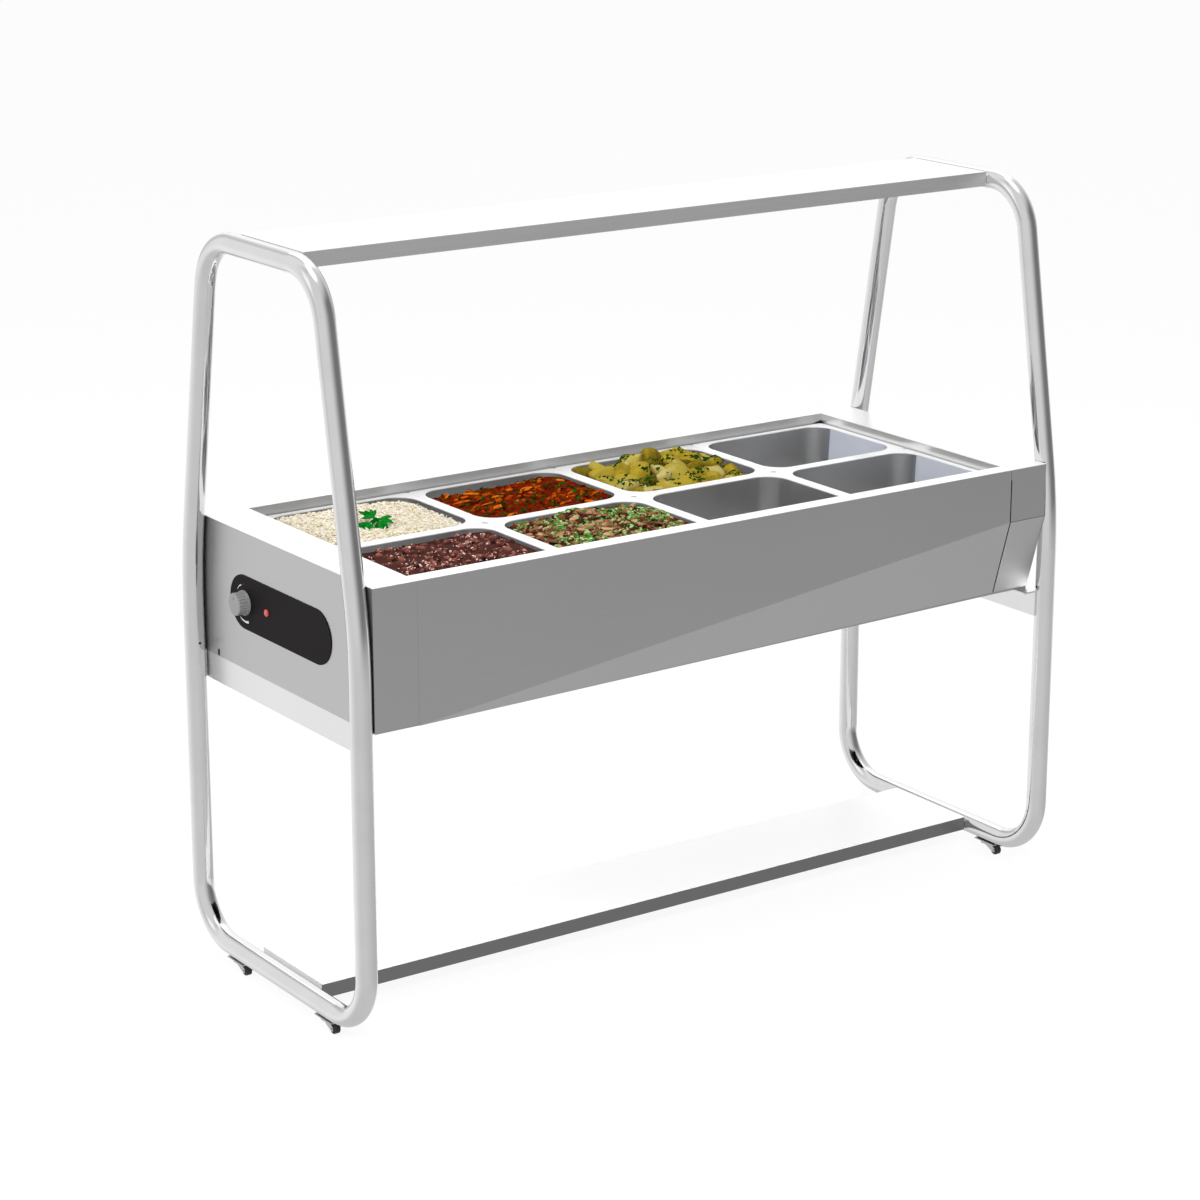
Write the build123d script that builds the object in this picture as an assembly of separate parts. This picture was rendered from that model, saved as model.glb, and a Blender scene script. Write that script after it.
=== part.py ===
from build123d import *
import os
from math import atan2, cos

# Hot buffet counter: a bain-marie body carried between two bent-tube hoops.
# Millimetres, +Z up, origin on the floor under the middle of the counter.
# +X runs along the counter, the guests stand on the -Y side, the controls are on the -X end.

# Gastronorm pans, two rows of half-size pans
pan_columns = 4
pan_rows = 2
pan_pitch_x = 325.0
pan_pitch_y = 265.0
pan_gap = 1.0
pan_rim_width = 12.0
pan_rim_corner = 9.0
pan_sheet = 0.9
pan_depth = 100.0
pan_corner_radius = 45.0
pan_floor_radius = 16.0
pan_draft = 3.0

# Food in the pans: drop of its edge below the rim, and rise of its heap
fill_clearance = 0.4
rice_drop = 11.0
rice_heap = 8.0
stew_drop = 22.0
stew_heap = 10.0
potato_drop = 14.0
potato_heap = 20.0
bean_drop = 20.0
bean_heap = 8.0
meat_drop = 14.0
meat_heap = 13.0

# Body
deck_height = 828.0
deck_sheet = 1.5
deck_edge_radius = 1.0
well_clearance = 4.5
well_drop = 18.7
relief_height = 5.5
relief_length = 24.0
relief_depth = 14.0
end_margin = 86.0
front_margin = 32.5
body_height = 253.0
panel_sheet = 1.2
panel_play = 0.3
corner_panel_width = 86.5
corner_flange = 40.0
corner_panel_lift = 2.0
seam_gap = 0.8
right_slit = 2.6
right_slit_drop = 20.0
front_kink_drop = 102.0
front_slant_inset = 42.0
front_slant_lift = 4.0
end_notch_y = 237.0
end_notch_width = 7.0
end_notch_height = 13.0

# Water tank and the grid that carries the pans
tank_sheet = 1.2
tank_ledge = 6.0
tank_flange = 20.0
tank_water_depth = 60.0
grid_bar_width = 12.0
grid_bar_height = 10.0
grid_end_play = 0.3
grid_lug_length = 8.0
grid_lug_height = 4.0

# Bent-tube hoops
tube_diameter = 38.1
tube_wall = 1.5
hoop_side_gap = 0.45
leg_inset = 11.5
hoop_top_width = 380.0
hoop_rise = 511.6
hoop_knee_drop = 86.3
hoop_knee_radius = 1000.0
hoop_corner_radius = 100.0

# Cross rails under the body, folded angles welded to the hoops
rail_height = 50.0
rail_flange = 30.0
rail_sheet = 3.0
rail_end_inset = 2.5

# Roof shelf and lower shelf
shelf_sheet = 1.5
shelf_lip = 27.0
shelf_depth = 210.0
roof_below_tube_top = 3.7
lower_shelf_below_tube_top = 0.6
shelf_screw_spacing = 120.0

# Screws from inside the shelves and the body into threaded inserts in the hoops
screw_diameter = 6.0
screw_hole_play = 0.25
screw_head_diameter = 10.0
screw_head_height = 4.0
screw_end_stub = 2.0
insert_diameter = 9.0
insert_length = 14.0
insert_play = 0.1
washer_diameter = 14.0
washer_thickness = 0.4

# Swivel castors
castor_spread = 314.0
castor_plate_length = 56.0
castor_plate_width = 24.0
castor_plate_sheet = 2.0
castor_weld_gap = 0.05
castor_trail = 23.0
castor_wheel_diameter = 19.7
castor_wheel_width = 11.0
castor_wheel_edge = 1.5
castor_rim_width = 3.0
castor_wheel_clearance = 0.8
castor_hub_diameter = 12.0
castor_hub_recess = 1.0
castor_axle_diameter = 4.0
castor_running_play = 0.05
castor_thrust_gap = 0.2
castor_fork_sheet = 1.5
castor_fork_side_gap = 0.6
castor_fork_half_length = 14.0
castor_fork_arm_half = 4.0
kingpin_diameter = 6.0
kingpin_head_diameter = 9.0
kingpin_head_height = 1.2

# Controls on the left end
control_drop = 128.0
control_plate_length = 350.0
control_plate_height = 98.0
control_plate_sheet = 1.5
control_plate_y = 9.0
knob_y = 131.0
lamp_y = 53.0
knob_diameter = 45.0
knob_grip_diameter = 41.0
knob_depth = 21.0
knob_skirt_depth = 4.0
knob_gap = 0.8
knob_grooves = 22
knob_groove_radius = 1.3
knob_edge_radius = 1.5
knob_dot_diameter = 3.2
knob_dot_depth = 0.6
knob_dot_inset = 6.0
shaft_diameter = 6.0
shaft_play = 0.05
shaft_in_knob = 14.0
shaft_in_body = 24.0
bushing_diameter = 10.0
panel_hole_play = 0.3
thermostat_size_x = 34.0
thermostat_size_y = 46.0
thermostat_size_z = 40.0
lamp_lens_diameter = 13.0
lamp_lens_base = 2.0
lamp_lens_dome = 2.5
lamp_body_diameter = 10.0
lamp_body_length = 27.0
lamp_nut_diameter = 16.0
lamp_nut_height = 4.0

# Heating under the tank
element_diameter = 8.5
element_runs = 4
element_row_pitch = 100.0
element_bend_radius = 45.0
element_end_inset = 84.0
element_cold_end = 51.0
element_pin_diameter = 4.0
element_pin_length = 15.0
element_gap = 0.2
clamp_sheet = 1.5
clamp_width = 20.0
clamp_pitch = 400.0
clamp_post = 10.0
clamp_overhang = 25.0
insulation_inset = 20.0
insulation_depth = 420.0
insulation_play = 0.3
bulb_diameter = 6.0
bulb_length = 60.0
bulb_inset = 4.0
capillary_diameter = 2.0
capillary_bend = 10.0
capillary_standoff = 30.0

# Wiring in the left end of the body
wire_diameter = 3.0
wire_bend = 8.0
wire_low_rise = 30.0
wire_return_rise = 20.0
wire_high_drop = 20.0
terminal_inset = 50.0
terminal_y = -90.0
terminal_pitch = 15.0
terminal_length = 60.0
terminal_width = 30.0
terminal_height = 20.0
gland_inset = 65.0
gland_y = 200.0
gland_thread_diameter = 20.0
gland_thread_length = 14.0
gland_nut_diameter = 28.0
gland_nut_height = 6.0
gland_bore_diameter = 10.0
gland_hole_play = 0.3

# Drain under the tank
drain_x = 520.0
drain_pipe_diameter = 25.0
drain_pipe_wall = 2.0
drain_pipe_drop = 24.0
drain_collar_diameter = 40.0
drain_collar_height = 3.0
drain_hole_play = 0.3
valve_diameter = 36.0
valve_height = 54.0
valve_socket_depth = 14.0
valve_socket_play = 0.1
valve_boss_diameter = 16.0
valve_boss_length = 8.0
valve_tail_diameter = 19.0
valve_tail_length = 18.0
lever_stem_diameter = 8.0
lever_stem_depth = 7.0
lever_play = 0.05
lever_hub_diameter = 18.0
lever_sheet = 3.5
lever_length = 60.0
lever_width = 11.0
lever_gap = 0.4

# Places that follow from the sizes above
well_length = pan_columns * pan_pitch_x + 2 * well_clearance
well_depth = pan_rows * pan_pitch_y + 2 * well_clearance
deck_length = well_length + 2 * end_margin
deck_depth = well_depth + 2 * front_margin
half_length = deck_length / 2
half_depth = deck_depth / 2
rim_top = deck_height - well_drop
ledge_top = rim_top - pan_sheet
panel_top = deck_height - deck_sheet
panel_bottom = deck_height - body_height
base_top = panel_bottom + panel_sheet
seam_x = half_length - corner_panel_width
kink_z = deck_height - front_kink_drop
slant_y = -half_depth + front_slant_inset
slant_bottom = panel_bottom + front_slant_lift
tank_half_x = pan_columns * pan_pitch_x / 2 - tank_ledge
tank_half_y = pan_rows * pan_pitch_y / 2 - tank_ledge
tank_floor = ledge_top - pan_depth - tank_water_depth
tank_underside = tank_floor - tank_sheet
tube_radius = tube_diameter / 2
hoop_x = half_length + hoop_side_gap + tube_radius
leg_y = half_depth - leg_inset
plate_underside = castor_wheel_diameter + castor_wheel_clearance
tube_underside = plate_underside + castor_plate_sheet + castor_weld_gap
hoop_bottom_z = tube_underside + tube_radius
hoop_top_z = deck_height + hoop_rise
hoop_knee_z = deck_height - hoop_knee_drop
hoop_lean = atan2(leg_y - hoop_top_width / 2, hoop_top_z - hoop_knee_z)
bolt_y = leg_y - hoop_knee_radius * (1 / cos(hoop_lean / 2) - 1)
screw_hole = screw_diameter / 2 + screw_hole_play
roof_top = hoop_top_z + tube_radius - roof_below_tube_top
lower_shelf_top = hoop_bottom_z + tube_radius - lower_shelf_below_tube_top
rail_half = leg_y - rail_end_inset
control_z = deck_height - control_drop
inner_end_x = -half_length + panel_sheet
plate_face_x = -half_length - control_plate_sheet
element_z = tank_underside - element_gap - element_diameter / 2
clamp_top = element_z - element_diameter / 2 - element_gap
insulation_top = clamp_top - clamp_sheet - insulation_play
drain_y = element_row_pitch
along_x = Rotation(0, 90, 0)
along_y = Rotation(-90, 0, 0)

parts = {}


def block(x0, x1, y0, y1, z0, z1):
    """A box given by its lowest and highest corners."""
    centre = ((x0 + x1) / 2, (y0 + y1) / 2, (z0 + z1) / 2)
    return Pos(*centre) * Box(x1 - x0, y1 - y0, z1 - z0)


def rod_x(x0, x1, y, z, radius):
    """A round bar along X."""
    return Pos((x0 + x1) / 2, y, z) * along_x * Cylinder(radius, abs(x1 - x0))


def rod_y(x, y0, y1, z, radius):
    """A round bar along Y."""
    return Pos(x, (y0 + y1) / 2, z) * along_y * Cylinder(radius, abs(y1 - y0))


def rod_z(x, y, z0, z1, radius):
    """A round bar along Z."""
    return Pos(x, y, (z0 + z1) / 2) * Cylinder(radius, abs(z1 - z0))


def sheet(points, thickness, direction):
    """A flat sheet: a polygon pushed along one direction."""
    return extrude(Face(Wire.make_polygon(points)), amount=thickness, dir=direction)


def bent_bar(points, radii, radius):
    """A round bar along straight runs joined by arcs."""
    path = FilletPolyline(*points, radius=radii)
    section = Plane(origin=path @ 0, z_dir=path % 0) * Circle(radius)
    return sweep(section, path=path)


def group(solids):
    """Several separate solids that share one node."""
    return Compound(children=list(solids))


# Pans and food
rim_x = pan_pitch_x - pan_gap
rim_y = pan_pitch_y - pan_gap


def bowl(shrink, floor_z):
    """The pan's tapered inside, made smaller all round by shrink, from the rim down."""
    size_x = rim_x - 2 * pan_rim_width - 2 * shrink
    size_y = rim_y - 2 * pan_rim_width - 2 * shrink
    mouth = RectangleRounded(size_x, size_y, pan_corner_radius - shrink)
    body = extrude(mouth, amount=floor_z, taper=pan_draft, dir=(0, 0, -1))
    floor_edges = body.faces().sort_by(Axis.Z)[0].outer_wire().edges()
    return fillet(floor_edges, pan_floor_radius - shrink)


def make_pan():
    """One half-size pan, its rim's top face at height 0."""
    rim = extrude(RectangleRounded(rim_x, rim_y, pan_rim_corner), amount=pan_sheet, dir=(0, 0, -1))
    shell = bowl(-pan_sheet, pan_depth)
    return rim + shell - bowl(0, pan_depth - pan_sheet)


def make_dish(drop, heap):
    """Food that lies on the pan's floor, with a crowned top."""
    food = bowl(fill_clearance, pan_depth - pan_sheet)
    half_span = rim_x / 2 - pan_rim_width
    crown_radius = (half_span**2 + heap**2) / (2 * heap)
    crown = Pos(0, 0, heap - drop - crown_radius) * Sphere(crown_radius)
    return food & crown


def heaped_dish(drop, heap):
    """Food whose heap stands higher than the rim."""
    food = make_dish(drop, drop / 2)
    half_span = rim_x / 2 - pan_rim_width
    half_short = rim_y / 2 - pan_rim_width - drop
    mound_radius = (half_short**2 + heap**2) / (2 * heap)
    mound = Pos(0, 0, heap - drop - mound_radius) * Sphere(mound_radius)
    return food + (mound & block(-half_span, half_span, -half_short, half_short, -drop - heap, heap))


def pan_place(row, column):
    """The centre of a pan's rim, column counted from the left."""
    x = (column - (pan_columns + 1) / 2) * pan_pitch_x
    y = pan_pitch_y / 2 if row == "rear" else -pan_pitch_y / 2
    return Pos(x, y, rim_top)


dish_fills = {
    "rice_dish": ("rear", 1, rice_drop, rice_heap),
    "tomato_stew_dish": ("rear", 2, stew_drop, stew_heap),
    "potato_dish": ("rear", 3, potato_drop, potato_heap),
    "bean_dish": ("front", 1, bean_drop, bean_heap),
    "herb_meat_dish": ("front", 2, meat_drop, meat_heap),
}
pan = make_pan()
for row in ("front", "rear"):
    for column in range(1, pan_columns + 1):
        parts[f"pan_{row}_{column}"] = pan_place(row, column) * pan
for dish, (row, column, drop, heap) in dish_fills.items():
    food = heaped_dish(drop, heap) if heap > drop else make_dish(drop, heap)
    parts[dish] = pan_place(row, column) * food

# Top deck, with a lip that drops to the tank's flange and has relief cuts at its corners
deck = extrude(Rectangle(deck_length, deck_depth), amount=deck_sheet)
deck = fillet(deck.faces().sort_by(Axis.Z)[-1].outer_wire().edges(), deck_edge_radius)
deck = Pos(0, 0, panel_top) * deck
lip_x = well_length / 2 + deck_sheet
lip_y = well_depth / 2 + deck_sheet
deck += block(-lip_x, lip_x, -lip_y, lip_y, ledge_top, panel_top)
deck -= block(-well_length / 2, well_length / 2, -well_depth / 2, well_depth / 2, ledge_top, deck_height)
relief_long = [
    (lip_x, lip_y, ledge_top),
    (lip_x, lip_y, ledge_top + relief_height),
    (lip_x - relief_length, lip_y, ledge_top),
]
relief_short = [
    (lip_x, lip_y, ledge_top),
    (lip_x, lip_y, ledge_top + relief_height),
    (lip_x, lip_y - relief_depth, ledge_top),
]
relief = sheet(relief_long, deck_sheet, (0, -1, 0)) + sheet(relief_short, deck_sheet, (-1, 0, 0))
relief = group([relief, mirror(relief, about=Plane.YZ)])
deck -= group([relief, mirror(relief, about=Plane.XZ)])
parts["top_deck"] = deck

# Water tank hung under the deck's lip: flat panels that meet at their welds, and lugs for the pan grid
tank_out_x = tank_half_x + tank_sheet
tank_out_y = tank_half_y + tank_sheet
flange_x = tank_half_x + tank_flange
flange_y = tank_half_y + tank_flange
flange_bottom = ledge_top - tank_sheet
bar_bottom = ledge_top - grid_bar_height
lug_bottom = bar_bottom - grid_lug_height
half_bar = grid_bar_width / 2
column_lines = [(i - pan_columns / 2) * pan_pitch_x for i in range(1, pan_columns)]
lug_x = tank_half_x - grid_lug_length
lug_y = tank_half_y - grid_lug_length
tank_bottom = block(-tank_out_x, tank_out_x, -tank_out_y, tank_out_y, tank_underside, tank_floor)
drain_hole = drain_pipe_diameter / 2 + drain_hole_play
tank_panels = [tank_bottom - rod_z(drain_x, drain_y, tank_underside, tank_floor, drain_hole)]
end_panels = [
    block(tank_half_x, tank_out_x, -tank_out_y, tank_out_y, tank_floor, flange_bottom),
    block(tank_half_x, flange_x, -flange_y, flange_y, flange_bottom, ledge_top),
    block(lug_x, tank_half_x, -half_bar, half_bar, lug_bottom, bar_bottom),
]
side_panels = [
    block(-tank_half_x, tank_half_x, tank_half_y, tank_out_y, tank_floor, flange_bottom),
    block(-tank_half_x, tank_half_x, tank_half_y, flange_y, flange_bottom, ledge_top),
]
for line in column_lines:
    side_panels.append(block(line - half_bar, line + half_bar, lug_y, tank_half_y, lug_bottom, bar_bottom))
for panels, plane in ((end_panels, Plane.YZ), (side_panels, Plane.XZ)):
    tank_panels += panels
    tank_panels += [mirror(panel, about=plane) for panel in panels]
parts["water_tank"] = group(tank_panels)

grid_x = tank_half_x - grid_end_play
grid_y = tank_half_y - grid_end_play
grid = block(-grid_x, grid_x, -half_bar, half_bar, bar_bottom, ledge_top)
for line in column_lines:
    grid += block(line - half_bar, line + half_bar, -grid_y, grid_y, bar_bottom, ledge_top)
parts["pan_support_grid"] = grid

# Front panel: a flat upper sheet, and a lower facet that leans in towards the right seam
inward = (0, 1, 0)
front_left_x = -seam_x + seam_gap / 2
front_right_x = seam_x - seam_gap / 2
upper_front = [
    (front_left_x, -half_depth, panel_top),
    (front_right_x, -half_depth, panel_top),
    (front_right_x, -half_depth, kink_z),
    (front_left_x, -half_depth, panel_bottom),
]
lower_front = [
    (front_left_x, -half_depth, panel_bottom),
    (front_right_x, -half_depth, kink_z),
    (front_right_x, slant_y, slant_bottom),
]
parts["front_panel"] = sheet(upper_front, panel_sheet, inward) + sheet(lower_front, panel_sheet, inward)

# Corner panels: a front face and a flange round the end, flat at the left, kinked at the right
flange_rear_y = -half_depth + corner_flange
corner_left_x = -seam_x - seam_gap / 2
left_bottom = panel_bottom + corner_panel_lift
front_inner_y = -half_depth + panel_sheet
left_corner = block(-half_length, corner_left_x, -half_depth, front_inner_y, left_bottom, panel_top)
left_corner += block(-half_length, inner_end_x, -half_depth, flange_rear_y, left_bottom, panel_top)
left_corner -= rod_x(-half_length, inner_end_x, -bolt_y, hoop_knee_z, screw_hole)
parts["front_left_corner_panel"] = left_corner

slit_top = deck_height - right_slit_drop
slit_x = front_right_x + right_slit
tab_x = front_right_x + seam_gap
right_upper = [
    (tab_x, -half_depth, panel_top),
    (half_length, -half_depth, panel_top),
    (half_length, -half_depth, kink_z),
    (slit_x, -half_depth, kink_z),
    (slit_x, -half_depth, slit_top),
    (tab_x, -half_depth, slit_top),
]
right_lower = [
    (slit_x, -half_depth, kink_z),
    (half_length, -half_depth, kink_z),
    (half_length, slant_y, slant_bottom),
    (slit_x, slant_y, slant_bottom),
]
right_flange = [
    (half_length, -half_depth, panel_top),
    (half_length, flange_rear_y, panel_top),
    (half_length, flange_rear_y, kink_z),
    (half_length, slant_y + corner_flange, slant_bottom),
    (half_length, slant_y, slant_bottom),
    (half_length, -half_depth, kink_z),
]
right_corner = sheet(right_upper, panel_sheet, inward) + sheet(right_lower, panel_sheet, inward)
right_corner += sheet(right_flange, panel_sheet, (-1, 0, 0))
right_corner -= rod_x(half_length - panel_sheet, half_length, -bolt_y, hoop_knee_z, screw_hole)
parts["front_right_corner_panel"] = right_corner

# End panels: the left one carries the controls, the right one follows the kinked corner
rear_inner_y = half_depth - panel_sheet
end_front_y = flange_rear_y + panel_play
hole_play_radius = bushing_diameter / 2 + panel_hole_play
lamp_hole_radius = lamp_body_diameter / 2 + panel_hole_play
left_end = block(-half_length, inner_end_x, end_front_y, rear_inner_y, panel_bottom, panel_top)
left_end -= rod_x(-half_length, inner_end_x, knob_y, control_z, hole_play_radius)
left_end -= rod_x(-half_length, inner_end_x, lamp_y, control_z, lamp_hole_radius)
notch_y0 = end_notch_y - end_notch_width / 2
notch_y1 = end_notch_y + end_notch_width / 2
notch_top = panel_bottom + end_notch_height
left_end -= block(-half_length, inner_end_x, notch_y0, notch_y1, panel_bottom, notch_top)
left_end -= rod_x(-half_length, inner_end_x, bolt_y, hoop_knee_z, screw_hole)
parts["left_end_panel"] = left_end

right_end_outline = [
    (half_length, end_front_y, panel_top),
    (half_length, rear_inner_y, panel_top),
    (half_length, rear_inner_y, panel_bottom),
    (half_length, slant_y + corner_flange + panel_play, panel_bottom),
    (half_length, slant_y + corner_flange + panel_play, slant_bottom),
    (half_length, end_front_y, kink_z),
]
right_end = sheet(right_end_outline, panel_sheet, (-1, 0, 0))
right_end -= rod_x(half_length - panel_sheet, half_length, bolt_y, hoop_knee_z, screw_hole)
parts["right_end_panel"] = right_end
parts["rear_panel"] = block(-half_length, half_length, rear_inner_y, half_depth, panel_bottom, panel_top)

# Base panel, resting on the rails, cut to the front's plan
base_end_x = half_length - panel_sheet - panel_play
base_left_y = front_inner_y + panel_play
base_right_y = slant_y + panel_sheet + panel_play
base_outline = [
    (-base_end_x, rear_inner_y, panel_bottom),
    (-base_end_x, base_left_y, panel_bottom),
    (front_left_x, base_left_y, panel_bottom),
    (front_right_x, base_right_y, panel_bottom),
    (base_end_x, base_right_y, panel_bottom),
    (base_end_x, rear_inner_y, panel_bottom),
]
gland_x = -half_length + gland_inset
gland_hole = gland_thread_diameter / 2 + gland_hole_play
base = sheet(base_outline, panel_sheet, (0, 0, 1))
base -= rod_z(drain_x, drain_y, panel_bottom, base_top, drain_hole)
base -= rod_z(gland_x, gland_y, panel_bottom, base_top, gland_hole)
parts["base_panel"] = base

# Hoops: half a loop swept from top to bottom, mirrored front to back, with screw holes
top_half = hoop_top_width / 2
hoop_corners = [
    (0, 0, hoop_top_z),
    (0, -top_half, hoop_top_z),
    (0, -leg_y, hoop_knee_z),
    (0, -leg_y, hoop_bottom_z),
    (0, 0, hoop_bottom_z),
]
hoop_radii = [hoop_corner_radius, hoop_knee_radius, hoop_corner_radius]
hoop_path = FilletPolyline(*hoop_corners, radius=hoop_radii)
tube_ring = Circle(tube_radius) - Circle(tube_radius - tube_wall)
half_hoop = sweep(Plane(origin=hoop_path @ 0, z_dir=hoop_path % 0) * tube_ring, path=hoop_path)
loop = half_hoop + mirror(half_hoop, about=Plane.XZ)

screw_places = []
for side in (-1, 1):
    screw_places.append((side * shelf_screw_spacing / 2, hoop_top_z, shelf_sheet))
    screw_places.append((side * shelf_screw_spacing / 2, hoop_bottom_z, shelf_sheet))
    screw_places.append((side * bolt_y, hoop_knee_z, panel_sheet))
insert_hole = insert_diameter / 2 + insert_play
for y, z, wall in screw_places:
    loop -= rod_x(-tube_diameter, 0, y, z, insert_hole)
parts["right_hoop"] = Pos(hoop_x, 0, 0) * loop
parts["left_hoop"] = mirror(parts["right_hoop"], about=Plane.YZ)

# Cross rails: an upright leg flush with the end panel, and a flange that the body stands on
rail_bottom = panel_bottom - rail_height
rail_top_sheet = panel_bottom - rail_sheet
rail_leg_x = half_length - rail_sheet
rail_flange_x = half_length - rail_flange
rail = block(rail_leg_x, half_length, -rail_half, rail_half, rail_bottom, panel_bottom)
rail += block(rail_flange_x, half_length, -rail_half, rail_half, rail_top_sheet, panel_bottom)
parts["right_cross_rail"] = rail
parts["left_cross_rail"] = mirror(rail, about=Plane.YZ)


# Roof shelf and lower shelf: trays of flat panels that meet at the folds, open underneath
def make_shelf(top, screw_z):
    """A top sheet with a lip along each of its four edges, and holes for its end screws."""
    half = shelf_depth / 2
    bottom = top - shelf_lip
    fold = top - shelf_sheet
    inner_x = half_length - shelf_sheet
    inner_y = half - shelf_sheet
    top_sheet = block(-half_length, half_length, -half, half, fold, top)
    front_lip = block(-half_length, half_length, -half, -inner_y, bottom, fold)
    right_lip = block(inner_x, half_length, -inner_y, inner_y, bottom, fold)
    for y in (-shelf_screw_spacing / 2, shelf_screw_spacing / 2):
        right_lip -= rod_x(inner_x, half_length, y, screw_z, screw_hole)
    rear_lip = mirror(front_lip, about=Plane.XZ)
    return group([top_sheet, front_lip, rear_lip, right_lip, mirror(right_lip, about=Plane.YZ)])


parts["roof_shelf"] = make_shelf(roof_top, hoop_top_z)
parts["lower_shelf"] = make_shelf(lower_shelf_top, hoop_bottom_z)


# Screws, inserts and washers at the right hoop, mirrored for the left one
tube_side_x = hoop_x - tube_radius


def frame_screw(y, z, wall):
    """A screw with its head inside the clamped wall."""
    seat_x = half_length - wall
    tip_x = tube_side_x + insert_length + screw_end_stub
    head = rod_x(seat_x - screw_head_height, seat_x, y, z, screw_head_diameter / 2)
    return head + rod_x(seat_x, tip_x, y, z, screw_diameter / 2)


def tube_insert(y, z):
    """A threaded sleeve in the hoop's wall."""
    sleeve = rod_x(tube_side_x, tube_side_x + insert_length, y, z, insert_diameter / 2)
    return sleeve - rod_x(tube_side_x, tube_side_x + insert_length, y, z, screw_hole)


def body_washer(y):
    """A thin washer between the body and the hoop."""
    washer = rod_x(half_length, half_length + washer_thickness, y, hoop_knee_z, washer_diameter / 2)
    return washer - rod_x(half_length, half_length + washer_thickness, y, hoop_knee_z, screw_hole)


def both_ends(solids):
    """The right end's solids together with their mirror images at the left end."""
    right = list(solids)
    return group(right + [mirror(solid, about=Plane.YZ) for solid in right])


parts["frame_screws"] = both_ends(frame_screw(*place) for place in screw_places)
parts["tube_inserts"] = both_ends(tube_insert(y, z) for y, z, wall in screw_places)
parts["body_washers"] = both_ends(body_washer(y) for y in (-bolt_y, bolt_y))

# Swivel castors, modelled with the kingpin on the Z axis and the wheel trailing to the front
wheel_radius = castor_wheel_diameter / 2
fork_top = plate_underside - castor_thrust_gap
fork_inner_x = castor_wheel_width / 2 + castor_fork_side_gap
fork_outer_x = fork_inner_x + castor_fork_sheet


def castor_plate():
    """A plate under the tube with its riveted kingpin."""
    half_x = castor_plate_width / 2
    half_y = castor_plate_length / 2
    plate = block(-half_x, half_x, -half_y, half_y, plate_underside, plate_underside + castor_plate_sheet)
    head_top = fork_top - castor_fork_sheet - castor_thrust_gap
    head_bottom = head_top - kingpin_head_height
    plate += rod_z(0, 0, head_bottom, plate_underside, kingpin_diameter / 2)
    return plate + rod_z(0, 0, head_bottom, head_top, kingpin_head_diameter / 2)


def castor_fork():
    """A bent fork with its riveted axle."""
    fork_bottom = fork_top - castor_fork_sheet
    half_y = castor_fork_half_length
    fork = block(-fork_outer_x, fork_outer_x, -half_y, half_y, fork_bottom, fork_top)
    arm_outline = [
        (0, half_y, fork_top),
        (0, -half_y, fork_top),
        (0, -castor_trail - castor_fork_arm_half, wheel_radius + castor_fork_arm_half),
        (0, -castor_trail - castor_fork_arm_half, wheel_radius - castor_fork_arm_half),
        (0, -castor_trail + castor_fork_arm_half, wheel_radius - castor_fork_arm_half),
        (0, 0, fork_bottom - castor_fork_arm_half),
        (0, half_y, fork_bottom - castor_fork_arm_half),
    ]
    arm = sheet(arm_outline, castor_fork_sheet, (1, 0, 0))
    fork += Pos(fork_inner_x, 0, 0) * arm
    fork += Pos(-fork_outer_x, 0, 0) * arm
    fork -= rod_z(0, 0, fork_bottom, fork_top, kingpin_diameter / 2 + castor_running_play)
    axle_end = fork_outer_x + castor_fork_sheet
    return fork + rod_x(-axle_end, axle_end, -castor_trail, wheel_radius, castor_axle_diameter / 2)


def castor_wheel():
    """A wheel with rounded tread edges and dished sides."""
    wheel = Cylinder(wheel_radius, castor_wheel_width)
    wheel = fillet(wheel.edges(), castor_wheel_edge)
    dish_z = castor_wheel_width / 2 - castor_hub_recess
    for side in (-1, 1):
        dish = Cylinder(wheel_radius - castor_rim_width, 2 * castor_hub_recess)
        hub = Cylinder(castor_hub_diameter / 2, 2 * castor_hub_recess)
        wheel -= Pos(0, 0, side * (dish_z + castor_hub_recess)) * (dish - hub)
    wheel -= Cylinder(castor_axle_diameter / 2 + castor_running_play, 2 * castor_wheel_width)
    return Pos(0, -castor_trail, wheel_radius) * along_x * wheel


castor_places = {
    "front_left": Pos(-hoop_x, -castor_spread / 2, 0),
    "front_right": Pos(hoop_x, -castor_spread / 2, 0),
    "rear_left": Pos(-hoop_x, castor_spread / 2, 0),
    "rear_right": Pos(hoop_x, castor_spread / 2, 0),
}
plate = castor_plate()
fork = castor_fork()
wheel = castor_wheel()
parts["castor_plates"] = group(place * plate for place in castor_places.values())
for name, place in castor_places.items():
    parts[f"castor_fork_{name}"] = place * fork
    parts[f"castor_wheel_{name}"] = place * wheel

# Control plate, a stadium with holes for the thermostat's bushing and the lamp
stadium = SlotOverall(control_plate_length, control_plate_height)
control_plane = Plane(origin=(plate_face_x, control_plate_y, control_z), x_dir=(0, 1, 0), z_dir=(1, 0, 0))
control_plate = extrude(control_plane * stadium, amount=control_plate_sheet)
control_plate -= rod_x(plate_face_x, -half_length, knob_y, control_z, hole_play_radius)
control_plate -= rod_x(plate_face_x, -half_length, lamp_y, control_z, lamp_hole_radius)
parts["control_plate"] = control_plate

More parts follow.
